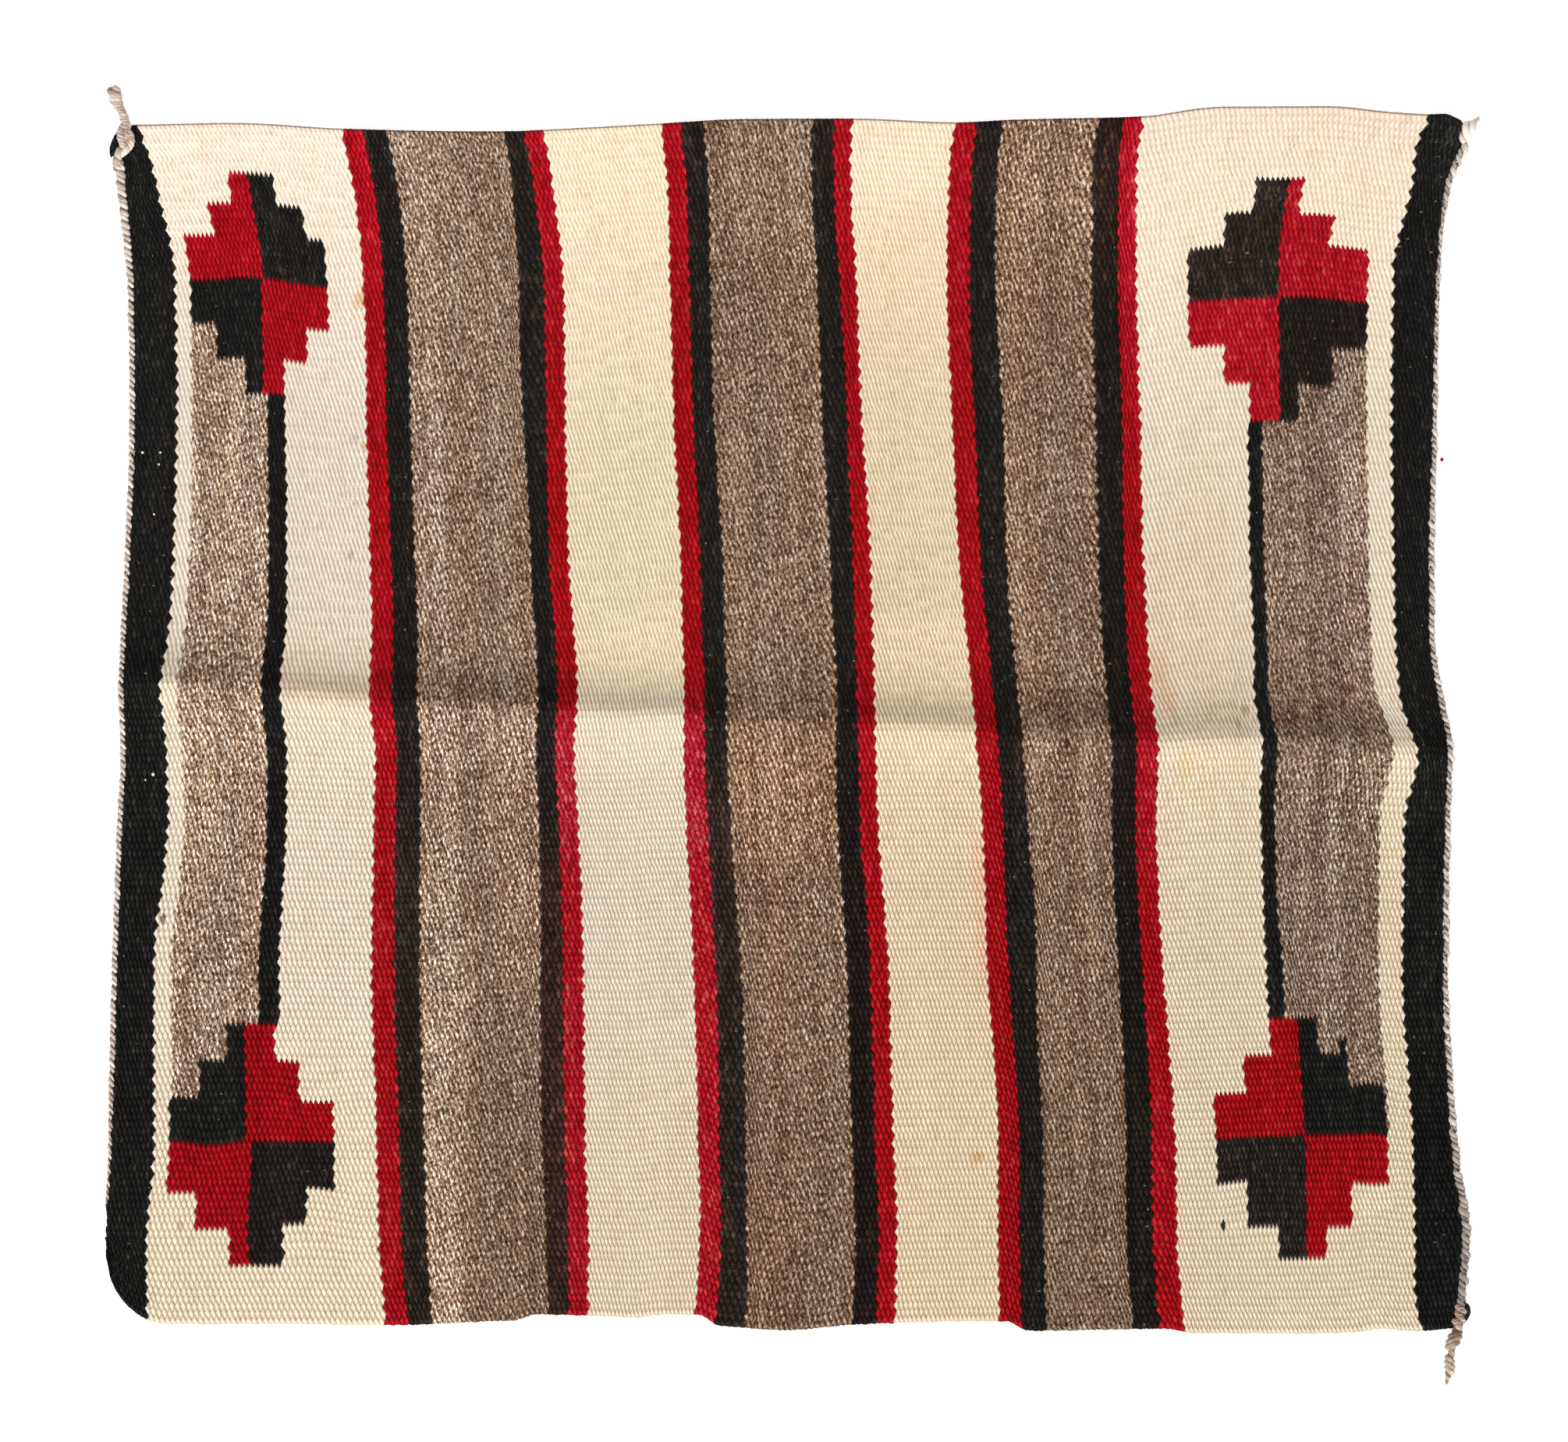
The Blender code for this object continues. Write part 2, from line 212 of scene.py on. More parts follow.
def smooth_between(places: Sequence[float], values: Sequence[float], at: Array) -> Array:
    """Read a smooth curve through the values, which never swings past them.

    Args:
        places: Where the values stand, in rising order.
        values: The values there.
        at: Where to read the curve.

    Returns:
        The curve's values, held level beyond both ends.
    """
    place = np.asarray(places, float)
    value = np.asarray(values, float)
    span = np.diff(place)
    slope = np.diff(value) / span
    product = slope[:-1] * slope[1:]
    both = np.where(product > 0, slope[:-1] + slope[1:], 1.0)
    tangent = np.concatenate([slope[:1], np.where(product > 0, 2 * product / both, 0.0), slope[-1:]])
    k = np.clip(np.searchsorted(place, at, side="right") - 1, 0, len(span) - 1)
    t = np.clip((at - place[k]) / span[k], 0.0, 1.0)
    rise = value[k + 1] - value[k]
    start = tangent[k] * span[k]
    end = tangent[k + 1] * span[k]
    return value[k] + t * (start + t * (3 * rise - 2 * start - end + t * (start + end - 2 * rise)))


NOISE_SPARE = 4


@dataclass(frozen=True)
class SmoothNoise:
    """Soft random waves over picks and ribs, the same on every run."""

    seed: int
    pick_length: float
    rib_length: float

    def at(self, pick: Array, rib: Array) -> Array:
        """Read the waves.

        Args:
            pick: Picks from the left end.
            rib: Ribs from the top selvedge.

        Returns:
            Values from -1 to 1.
        """
        picks = math.ceil(PICKS / self.pick_length) + NOISE_SPARE
        ribs = math.ceil(RIBS / self.rib_length) + NOISE_SPARE
        knots = np.random.default_rng(self.seed).uniform(-1.0, 1.0, (picks, ribs))
        u = pick / self.pick_length + 1
        v = rib / self.rib_length + 1
        i = np.floor(u).astype(int)
        j = np.floor(v).astype(int)
        u = ease(u - i)
        v = ease(v - j)
        upper = knots[i, j] * (1 - u) + knots[i + 1, j] * u
        lower = knots[i, j + 1] * (1 - u) + knots[i + 1, j + 1] * u
        return upper * (1 - v) + lower * v


@dataclass(frozen=True)
class ClothLay:
    """How the woven field lies on the floor: its outline, its drawn-in stripes and its crease."""

    crease: Crease = Crease()

    def places(self, picks: Array, ribs: Array) -> tuple[Array, Array]:
        """Lay out a grid of places.

        Args:
            picks: Picks of the grid's columns.
            ribs: Ribs of the grid's rows.

        Returns:
            X and Y of each place, with one row for each rib.
        """
        crossed = list(STRIPE_EDGES)
        edges = np.stack([smooth_between(crossed, edge, ribs) for edge in zip(*STRIPE_EDGES.values())])
        x = np.stack([np.interp(picks, STRIPE_PICKS, edges[:, row]) for row in range(len(ribs))])
        top = smooth_between(list(TOP_SELVEDGE), list(TOP_SELVEDGE.values()), picks)
        bottom = smooth_between(list(BOTTOM_SELVEDGE), list(BOTTOM_SELVEDGE.values()), picks)
        y = top + (bottom - top) * ribs[:, None] / RIBS
        for corner in CORNERS:
            y = y - self.corner_drop(corner, x, ribs)
        for pull in PULLS:
            share = pull.share(picks, ribs)
            x = x + pull.right * share
            y = y - pull.down * share
        return x, y

    def corner_drop(self, corner: Corner, x: Array, ribs: Array) -> Array:
        """Tell how far a rounded corner draws each place in from its selvedge.

        Args:
            corner: The corner.
            x: X of each place, with one row for each rib.
            ribs: Ribs of the grid's rows.

        Returns:
            The change in Y, downwards at a top corner.
        """
        ends = [edges[0 if corner.at_left else -1] for edges in STRIPE_EDGES.values()]
        edge = smooth_between(list(STRIPE_EDGES), ends, ribs)
        off = np.clip(1 - np.abs(x - edge[:, None]) / corner.width, 0.0, 1.0)
        depth = corner.height * (1 - np.sqrt(1 - off * off))
        from_end = ribs if corner.at_top else RIBS - ribs
        fade = np.clip(1 - from_end / corner.ribs, 0.0, 1.0)
        drop = depth * ease(fade)[:, None]
        return drop if corner.at_top else -drop


class Yarn(IntEnum):
    """The wool yarns that the wefts are made of; each number is a material slot."""

    WHITE = 0
    RED = 1
    BLACK = 2
    GREY = 3


@dataclass(frozen=True)
class Stripe:
    """A stripe across the whole rug, up to one pick."""

    end_pick: int
    yarn: Yarn


@dataclass(frozen=True)
class Bar:
    """A block of one colour inside a panel."""

    yarn: Yarn
    first_pick: int
    end_pick: int
    first_rib: int
    end_rib: int


@dataclass(frozen=True)
class SteppedDiamond:
    """A stepped motif in four quarters, red and black by turns.

    The left edges run outwards in (far, middle, near) and the right ones in (near, middle, far).
    The seven ribs are where the blocks start and end, from the top tip over the centre to the bottom tip.
    """

    centre_above: int
    centre_below: int
    left_above: tuple[int, int, int]
    left_below: tuple[int, int, int]
    right_above: tuple[int, int, int]
    right_below: tuple[int, int, int]
    ribs: tuple[int, int, int, int, int, int, int]
    upper_left: Yarn

    def reach(self, rib: int) -> tuple[int, int]:
        """Say how far the motif reaches on one of its ribs.

        Args:
            rib: The rib.

        Returns:
            Its first pick there, and the pick after its last.
        """
        _, step1, step2, centre, step3, step4, _ = self.ribs
        left = self.left_above if rib < centre else self.left_below
        right = self.right_above if rib < centre else self.right_below
        if rib < step1 or rib >= step4:
            return left[2], right[0]
        if rib < step2 or rib >= step3:
            return left[1], right[1]
        return left[0], right[2]

    def paint(self, chart: Array) -> None:
        """Weave the motif into the chart.

        Args:
            chart: The chart, with one row for each rib.
        """
        other = Yarn.BLACK if self.upper_left is Yarn.RED else Yarn.RED
        for rib in range(self.ribs[0], self.ribs[-1]):
            first, end = self.reach(rib)
            above = rib < self.ribs[len(self.ribs) // 2]
            centre = self.centre_above if above else self.centre_below
            chart[rib, first:centre] = self.upper_left if above else other
            chart[rib, centre:end] = other if above else self.upper_left


STRIPES = (
    Stripe(18, Yarn.BLACK), Stripe(105, Yarn.WHITE), Stripe(114, Yarn.RED), Stripe(124, Yarn.BLACK),
    Stripe(173, Yarn.GREY), Stripe(181, Yarn.BLACK), Stripe(189, Yarn.RED), Stripe(243, Yarn.WHITE),
    Stripe(251, Yarn.RED), Stripe(260, Yarn.BLACK), Stripe(303, Yarn.GREY), Stripe(312, Yarn.BLACK),
    Stripe(319, Yarn.RED), Stripe(365, Yarn.WHITE), Stripe(374, Yarn.RED), Stripe(384, Yarn.BLACK),
    Stripe(421, Yarn.GREY), Stripe(431, Yarn.BLACK), Stripe(440, Yarn.RED), Stripe(550, Yarn.WHITE),
    Stripe(PICKS + 1, Yarn.BLACK),
)
BARS = (
    Bar(Yarn.GREY, 25, 60, 22, 139),
    Bar(Yarn.BLACK, 60, 68, 37, 123),
    Bar(Yarn.GREY, 493, 539, 27, 138),
    Bar(Yarn.BLACK, 487, 493, 42, 123),
    Bar(Yarn.BLACK, 519, 522, 125, 131),
)
MOTIFS = (
    SteppedDiamond(
        59, 58, (25, 39, 50), (25, 37, 50), (70, 81, 89), (68, 79, 89),
        (7, 11, 15, 21, 27, 32, 37), Yarn.RED,
    ),
    SteppedDiamond(
        501, 501, (462, 477, 488), (462, 477, 488), (507, 522, 539), (509, 524, 539),
        (10, 15, 19, 26, 32, 37, 42), Yarn.BLACK,
    ),
    SteppedDiamond(
        54, 56, (24, 36, 47), (24, 36, 49), (66, 75, 88), (69, 78, 88),
        (123, 128, 133, 139, 146, 151, 156), Yarn.BLACK,
    ),
    SteppedDiamond(
        500, 500, (459, 474, 487), (459, 473, 487), (509, 522, 538), (509, 521, 538),
        (122, 127, 132, 138, 144, 150, 154), Yarn.RED,
    ),
)


@dataclass(frozen=True)
class Chart:
    """The weaver's chart: which yarn each pick has on each rib."""

    stripes: tuple[Stripe, ...] = STRIPES
    bars: tuple[Bar, ...] = BARS
    motifs: tuple[SteppedDiamond, ...] = MOTIFS

    def yarns(self) -> Array:
        """Fill in the chart.

        Returns:
            The yarns, with one row for each rib and one column for each pick.
        """
        chart = np.zeros((RIBS, PICKS + 1), int)
        start = 0
        for stripe in self.stripes:
            chart[:, start:stripe.end_pick] = stripe.yarn
            start = stripe.end_pick
        for bar in self.bars:
            chart[bar.first_rib:bar.end_rib, bar.first_pick:bar.end_pick] = bar.yarn
        for motif in self.motifs:
            motif.paint(chart)
        return chart

    def cells(self, parity: int) -> tuple[Array, Array]:
        """Say which pick shows in each cell between two columns of the mesh, and its yarn.

        Args:
            parity: 0 on the face and 1 on the underside, where the other picks show.

        Returns:
            The pick and the yarn of each cell, with one row for each rib.
        """
        column = np.arange(PICKS)[None, :]
        rib = np.arange(RIBS)[:, None]
        pick = column + (column + rib + parity) % 2
        return pick, self.yarns()[rib, pick]


@dataclass(frozen=True)
class Mark:
    """A stain or a small hole's shadow, soft at its rim, which the wool's colour is multiplied by."""

    pick: float
    rib: float
    half_picks: float
    half_ribs: float
    tint: Colour
    strength: float

    def share(self, pick: Array, rib: Array) -> Array:
        """Tell how much of the mark each cell has."""
        away = np.hypot((pick - self.pick) / self.half_picks, (rib - self.rib) / self.half_ribs)
        return self.strength * np.exp(-away ** 3)


MARKS = (
    Mark(103, 23.0, 3.0, 1.2, (214, 166, 98), 0.9),
    Mark(103, 43.5, 1.4, 0.7, (196, 150, 80), 0.8),
    Mark(99, 42.5, 0.9, 0.4, (90, 80, 60), 0.8),
    Mark(100, 51.5, 0.9, 0.4, (150, 140, 120), 0.8),
    Mark(96, 58.5, 0.9, 0.4, (160, 145, 120), 0.8),
    Mark(443, 75.0, 4.5, 3.6, (246, 190, 170), 0.7),
    Mark(447, 79.0, 5.0, 2.0, (246, 190, 165), 0.6),
    Mark(452, 87.5, 3.5, 2.2, (250, 220, 160), 0.6),
    Mark(469, 81.0, 12.0, 2.5, (225, 218, 196), 0.6),
    Mark(481, 80.5, 1.8, 0.7, (150, 110, 60), 0.85),
    Mark(476, 82.5, 0.9, 0.5, (140, 120, 100), 0.7),
    Mark(30, 150.5, 1.1, 0.6, (205, 165, 120), 0.8),
    Mark(461, 149.5, 1.4, 0.55, (0, 0, 0), 1.0),
    Mark(402, 84.5, 0.9, 0.5, (40, 34, 30), 1.0),
    Mark(20, 108.5, 1.2, 0.55, (60, 45, 40), 0.95),
    Mark(355, 141.5, 3.2, 0.9, (226, 178, 100), 0.8),
    Mark(356, 141.5, 0.9, 0.4, (180, 100, 60), 0.8),
)


@dataclass(frozen=True)
class ToneAndPaintedLightArea:
    """A soft-edged area where one wool's colour is multiplied by a colour, which makes it lighter, darker or
    of another hue there; around the crease some are painted shade and painted highlights.
    """

    yarn: Yarn
    first_pick: float
    end_pick: float
    first_rib: float
    end_rib: float
    colour: Colour
    soft_picks: float = 3.0
    soft_ribs: float = 8.0

    def share(self, pick: Array, rib: Array, yarn: Array) -> Array:
        """Tell how much each cell is inside the area.

        Args:
            pick: The pick of each cell.
            rib: The rib of each cell.
            yarn: The yarn of each cell.

        Returns:
            Shares from 0 to 1.
        """
        inside = self.rise(pick, self.first_pick, self.soft_picks)
        inside = inside * self.rise(-pick, -self.end_pick, self.soft_picks)
        inside = inside * self.rise(rib, self.first_rib, self.soft_ribs)
        inside = inside * self.rise(-rib, -self.end_rib, self.soft_ribs)
        return inside * (yarn == self.yarn)

    @staticmethod
    def rise(place: Array, start: float, soft: float) -> Array:
        """Rise smoothly from 0 to 1 around a start."""
        return ease(((place - start) / soft + 0.5).clip(0.0, 1.0))


FAR = 1000.0
# Areas by wool as (first pick, end pick, first rib, end rib, colour, soft picks, soft ribs); those marked
# around the crease are painted shade and painted highlights, the others give the wool lighter, darker or
# other-hued patches
TONES_AND_PAINTED_LIGHT = {
    Yarn.WHITE: (
        (-FAR, FAR, -FAR, 22, (1.19, 1.12, 1.10), 3, 44),
        (18, 105, -FAR, 70, (1.0, 1.01, 1.06), 3, 10),
        (440, 567, -FAR, 10, (0.93, 0.93, 0.95), 3, 20),
        (-FAR, FAR, 84, FAR, (1.04, 1.04, 1.06), 3, 10),
        (18, 105, 84, FAR, (1.04, 1.05, 1.06), 3, 10),
        (189, 243, -FAR, 79, (1.02, 1.0, 0.92), 3, 5),
        (319, 365, -FAR, FAR, (0.985, 0.935, 0.82)),
        (440, 567, 84, FAR, (0.96, 0.94, 0.88), 3, 10),
        (440, 480, 50, 84, (0.98, 0.92, 0.88), 20, 30),
        # Painted light that lifts the crease's shade above the crest
        (18, 60, 54, 79, (1.08, 1.08, 1.08), 6, 8),
        # Painted shade just above the crest
        (60, 105, 75.5, 79, (0.93, 0.86, 0.82), 10, 2),
        (360, 367, 97, 119, (1.04, 0.84, 0.82), 8, 8),
        # Painted light that lifts the crease's shade above the crest
        (60, 365, 68, 79, (1.09, 1.08, 1.08), 6, 4),
        (319, 365, -FAR, 12, (1.0, 1.05, 1.14), 3, 16),
        (480, 530, 62, 79, (0.94, 0.92, 0.92), 16, 8),
        (18, 243, 130, FAR, (1.0, 0.97, 0.91), 6, 30),
    ),
    Yarn.GREY: (
        (20, 60, -FAR, FAR, (1.60, 1.76, 1.95)),
        (124, 181, -FAR, FAR, (1.14, 1.18, 1.22), 4, 8),
        (124, 139, -FAR, 82, (1.16, 1.18, 1.22), 8, 12),
        (124, 140, 82, FAR, (1.36, 1.44, 1.52), 8, 12),
        (156, 181, -FAR, 70, (0.88, 0.86, 0.84), 8, 20),
        (156, 181, 84, 118, (1.20, 1.16, 1.16), 8, 12),
        (138, 181, 128, FAR, (0.84, 0.80, 0.76), 8, 20),
        (262, 300, 82, 100, (1.18, 1.08, 1.00), 6, 12),
        (262, 281, 20, 60, (0.88, 0.86, 0.86), 8, 12),
        (262, 281, 100, FAR, (1.0, 0.90, 0.86), 8, 12),
        (384, 421, 20, 44, (0.90, 0.87, 0.85), 8, 10),
        (124, 138, 100, FAR, (1.20, 1.26, 1.30), 6, 10),
        (384, 396, 128, FAR, (0.84, 0.83, 0.80), 4, 10),
        (139, 156, -FAR, 12, (0.90, 0.88, 0.86), 6, 12),
        # Painted shade just above the crest and painted light just below it
        (124, 181, 75, 77.5, (0.84, 0.82, 0.80), 3, 2),
        (124, 181, 79.5, 88, (1.16, 1.19, 1.25), 3, 3),
        # Painted shade above the crest, where the cloth faces away from the key light
        (384, 421, 77, 81.5, (0.78, 0.74, 0.70), 3, 2),
        (493, 539, 74, 85.5, (0.80, 0.74, 0.68), 3, 5),
        (493, 539, 79, 83.5, (0.84, 0.80, 0.78), 3, 2),
        (262, 421, 130, FAR, (0.90, 0.88, 0.86), 6, 30),
        (384, 421, -FAR, 16, (1.22, 1.22, 1.22), 6, 16),
        (400, 421, 22, FAR, (0.92, 0.91, 0.91), 8, 10),
        (384, 400, -FAR, 84, (1.05, 1.02, 1.00), 8, 6),
        (493, 539, -FAR, FAR, (0.98, 1.03, 1.12)),
        (524, 540, 44, 84, (1.26, 1.28, 1.34), 5, 8),
        (516, 540, 84, 104, (1.18, 1.24, 1.24), 5, 8),
    ),
    Yarn.BLACK: (
        (105, 440, -FAR, FAR, (1.45, 1.20, 1.05)),
        (105, 440, 81, 104, (1.35, 1.20, 1.20), 3, 8),
        (112, 126, 100, FAR, (1.80, 1.50, 1.30), 2, 8),
        (171, 183, 100, FAR, (2.50, 1.50, 1.40), 2, 8),
        (249, 262, 90, FAR, (1.90, 1.45, 1.35), 2, 8),
        (301, 314, 82, 100, (0.66, 0.66, 0.68), 2, 6),
        (301, 314, 100, FAR, (1.10, 0.72, 0.72), 2, 8),
        (105, 440, -FAR, 10, (1.50, 1.32, 1.34), 2, 10),
        (112, 126, 90, 118, (1.22, 1.22, 1.24), 2, 8),
        (171, 183, 118, FAR, (1.35, 1.15, 1.12), 2, 8),
        (249, 262, 96, 118, (1.26, 1.20, 1.20), 2, 8),
        (419, 433, 24, FAR, (0.86, 0.76, 0.72), 2, 6),
        (-FAR, 18, -FAR, 10, (1.35, 1.42, 1.42), 2, 12),
        (550, FAR, -FAR, 10, (1.35, 1.45, 1.50), 2, 12),
        (419, 433, -FAR, 22, (1.70, 1.15, 0.90), 2, 10),
        (59, 92, 11, 21, (1.75, 1.50, 1.35), 10, 3),
        (455, 501, 8, 26, (2.70, 1.95, 1.60), 2, 2),
        (501, 541, 26, 42, (1.65, 1.12, 0.94), 2, 2),
        (455, 501, 138, 155, (2.20, 1.80, 1.60), 2, 2),
        (20, 57, 121, 139, (1.30, 1.30, 1.20), 2, 2),
        (56, 91, 139, 157, (1.65, 1.30, 1.15), 2, 2),
        (548, 580, 128, FAR, (0.62, 0.64, 0.66), 2, 20),
    ),
    Yarn.RED: (
        (105, 440, -FAR, 22, (1.20, 1.30, 1.45), 3, 12),
        (105, 440, 30, 80, (1.03, 0.80, 0.88), 3, 12),
        # Painted highlights: below the crest the red is lighter and pinker, as light glints on its beads
        (178, 253, 81, 100, (1.10, 3.0, 2.4), 3, 10),
        (430, 441, 81, 100, (1.10, 3.0, 2.4), 2, 10),
        (105, 178, 81, FAR, (1.06, 1.45, 1.35), 3, 6),
        (178, 253, 81, FAR, (1.12, 2.4, 2.1), 3, 6),
        (300, 440, 81, FAR, (1.02, 1.05, 1.05), 3, 6),
        (20, 92, -FAR, 40, (1.16, 0.50, 1.32)),
        (20, 92, 120, FAR, (1.02, 0.25, 0.84)),
        (455, 540, -FAR, 50, (1.26, 2.40, 2.20)),
        (105, 178, -FAR, 84, (1.10, 1.15, 1.20), 3, 6),
        (433, 441, -FAR, 44, (1.20, 2.30, 2.20), 3, 10),
        (178, 253, 40, 72, (1.0, 0.60, 0.80), 3, 10),
        (300, 320, 20, FAR, (1.0, 0.68, 0.84), 2, 10),
        (178, 190, 116, FAR, (1.0, 1.40, 1.25), 2, 12),
        (240, 253, 98, FAR, (1.08, 1.60, 1.30), 3, 12),
        (105, 441, 84, FAR, (1.05, 1.0, 1.0), 3, 6),
        (455, 540, 120, FAR, (1.03, 0.50, 0.80)),
    ),
}
TONE_AND_PAINTED_LIGHT_AREAS = [ToneAndPaintedLightArea(yarn, *row) for yarn, rows in TONES_AND_PAINTED_LIGHT.items() for row in rows]


@dataclass(frozen=True)
class WoolFinish:
    """One colour of handspun wool, and how unevenly it is spun.

    Its body colour shows most; the bead and streak spreads say how far single beads and whole lengths
    of yarn stray towards the dark and the light colour. The groove is how dark painted shade makes its
    grooves.
    """

    name: str
    dark: Colour
    body: Colour
    light: Colour
    bead_spread: float
    streak_spread: float
    hue_spread: float
    groove: float
    roughness: float = 0.72
    specular: float = 0.30
    sheen: float = 0.05
    relief: float = 0.35
    heather: float = 0.8
    flecks: float = 0.0


FINISHES = {
    Yarn.WHITE: WoolFinish(
        "cream_wool", (222, 202, 172), (246, 234, 214), (255, 250, 238), 0.30, 0.20, 0.010, 0.50,
        sheen=0.08,
    ),
    Yarn.RED: WoolFinish(
        "red_wool", (140, 0, 12), (182, 5, 23), (214, 44, 54), 0.55, 0.25, 0.0, 0.66,
        specular=0.12, sheen=0.0, heather=1.1,
    ),
    Yarn.BLACK: WoolFinish(
        "black_wool", (13, 13, 13), (26, 26, 25), (54, 52, 49), 0.60, 0.30, 0.03, 0.6,
        specular=0.12, sheen=0.0, heather=1.1, flecks=0.5,
    ),
    Yarn.GREY: WoolFinish(
        "grey_brown_wool", (92, 64, 46), (164, 131, 106), (234, 212, 191), 0.45, 0.36, 0.05, 0.88,
        sheen=0.06, heather=3.0,
    ),
}
CORD_FINISH = WoolFinish(
    "cord_wool", (130, 108, 95), (206, 192, 183), (246, 240, 235), 0.5, 0.5, 0.0, 0.80,
    roughness=0.8, sheen=0.08,
)
FLECK_COLOUR = (112, 106, 86)
FIBRE_RELIEF = 0.35
SHEEN_ROUGHNESS = 0.5

# Names of the meshes' maps and attributes
WEAVE_MAP = "weave"
BAKE_MAP = "OFBake"
SHADE = "wool_shade"
PAINTED_GROOVE_SHADE = "painted_groove_shade"
# Stains, tones, painted shade and painted highlights as one colour that the wool is multiplied by
STAIN_AND_PAINTED_LIGHT = "wool_stain_and_painted_light"


# The standard curve between sRGB and linear colours
BRIGHTEST = 255
SRGB_KNEE = 0.04045
SRGB_SLOPE = 12.92
SRGB_OFFSET = 0.055
SRGB_POWER = 2.4


def linear(colour: Colour) -> tuple[float, float, float, float]:
    """Turn an sRGB colour from 0 to 255 into the linear colour that shaders take.

    Args:
        colour: Its red, green and blue.

    Returns:
        The four channels.
    """
    channels = []
    for channel in colour:
        share = channel / BRIGHTEST
        if share <= SRGB_KNEE:
            channels.append(share / SRGB_SLOPE)
        else:
            channels.append(((share + SRGB_OFFSET) / (1 + SRGB_OFFSET)) ** SRGB_POWER)
    return (*channels, 1.0)


@dataclass(frozen=True)
class FibreNoise:
    """A soft noise drawn out along a yarn: its scales, its turn in radians and its detail."""

    across: float
    along: float
    turn: float
    detail: float


FINE_FIBRES = FibreNoise(4.2, 0.9, 0.35, 2.0)
BROAD_STREAKS = FibreNoise(0.55, 0.12, 0.0, 3.0)
HEATHER_MOTTLE = FibreNoise(0.95, 0.42, 0.3, 1.0)
NOISE_MIDDLE = 0.5
STREAK_SHARE = 0.45
GROOVE_SHARPNESS = 1.5
SHADOW_GREEN = 1.15
SHADOW_BLUE = 1.35
FLECK_SCALE = 0.22
FLECK_SIZE = 0.14
NODES_IN_ROW = 6
NODE_WIDTH = 220
NODE_HEIGHT = 260


class NodeBuilder:
    """Places and links shader nodes in one tree."""

    def __init__(self, tree: bpy.types.NodeTree) -> None:
        """Start building in a tree."""
        self.tree = tree
        self.count = 0

    def add(self, kind: str, **settings: object) -> bpy.types.Node:
        """Place a node.

        Args:
            kind: The node's type name.
            settings: Properties to set on it.

        Returns:
            The node.
        """
        node = self.tree.nodes.new(kind)
        row, column = divmod(self.count, NODES_IN_ROW)
        node.location = (column * NODE_WIDTH, -row * NODE_HEIGHT)
        self.count += 1
        for name, value in settings.items():
            setattr(node, name, value)
        return node

    def feed(self, node: bpy.types.Node, **inputs: object) -> bpy.types.Node:
        """Fill a node's inputs.

        Args:
            node: The node.
            inputs: Values or output sockets by input name, with _ for a space; input_0 is by number.

        Returns:
            The same node.
        """
        for name, value in inputs.items():
            number = name.removeprefix("input_")
            key = int(number) if number != name else name.replace("_", " ")
            if isinstance(value, bpy.types.NodeSocket):
                self.tree.links.new(value, node.inputs[key])
            else:
                node.inputs[key].default_value = value
        return node

    def math(self, operation: str, *values: object, clamp: bool = False) -> bpy.types.NodeSocket:
        """Work out one sum.

        Args:
            operation: The sum's name.
            values: Its numbers or output sockets.
            clamp: Whether the result stays from 0 to 1.

        Returns:
            The output socket.
        """
        node = self.add("ShaderNodeMath", operation=operation, use_clamp=clamp)
        self.feed(node, **{f"input_{i}": value for i, value in enumerate(values)})
        return node.outputs[0]

    def mix(self, blend: str, factor: object, a: object, b: object) -> bpy.types.NodeSocket:
        """Mix two colours.

        Args:
            blend: How they are blended.
            factor: How much of the mixed colour shows.
            a: The first colour.
            b: The second colour.

        Returns:
            The output socket.
        """
        node = self.add("ShaderNodeMix", data_type="RGBA", blend_type=blend)
        self.feed(node, input_0=factor, input_6=a, input_7=b)
        return node.outputs[2]

    def fade(self, value: object, low: float, high: float) -> bpy.types.NodeSocket:
        """Rise smoothly from 0 to 1.

        Args:
            value: The socket that is read.
            low: The value that gives 0.
            high: The value that gives 1.

        Returns:
            The output socket.
        """
        node = self.add("ShaderNodeMapRange", interpolation_type="SMOOTHSTEP")
        self.feed(node, Value=value, From_Min=low, From_Max=high)
        return node.outputs[0]

    def noise(self, place: bpy.types.NodeSocket, kind: FibreNoise) -> bpy.types.NodeSocket:
        """Place one soft noise.

        Args:
            place: The places, in millimetres with the yarn along Y.
            kind: The noise.

        Returns:
            The output socket.
        """
        drawn = self.add("ShaderNodeMapping", vector_type="POINT")
        self.feed(drawn, Vector=place, Rotation=(0.0, 0.0, kind.turn), Scale=(kind.across, kind.along, 1.0))
        node = self.add("ShaderNodeTexNoise")
        self.feed(node, Vector=drawn.outputs[0], Scale=1.0, Detail=kind.detail)
        return node.outputs[0]


def new_group(
    name: str, inputs: dict[str, str], outputs: dict[str, str]
) -> tuple[NodeBuilder, bpy.types.Node, bpy.types.Node]:
    """Start a shader node group.

    Args:
        name: The group's name.
        inputs: Socket types by input name.
        outputs: Socket types by output name.

    Returns:
        The builder, the group's input node and its output node.
    """
    tree = bpy.data.node_groups.new(name, "ShaderNodeTree")
    for socket, kind in inputs.items():
        tree.interface.new_socket(socket, in_out="INPUT", socket_type=kind)
    for socket, kind in outputs.items():
        tree.interface.new_socket(socket, in_out="OUTPUT", socket_type=kind)
    build = NodeBuilder(tree)
    return build, build.add("NodeGroupInput"), build.add("NodeGroupOutput")


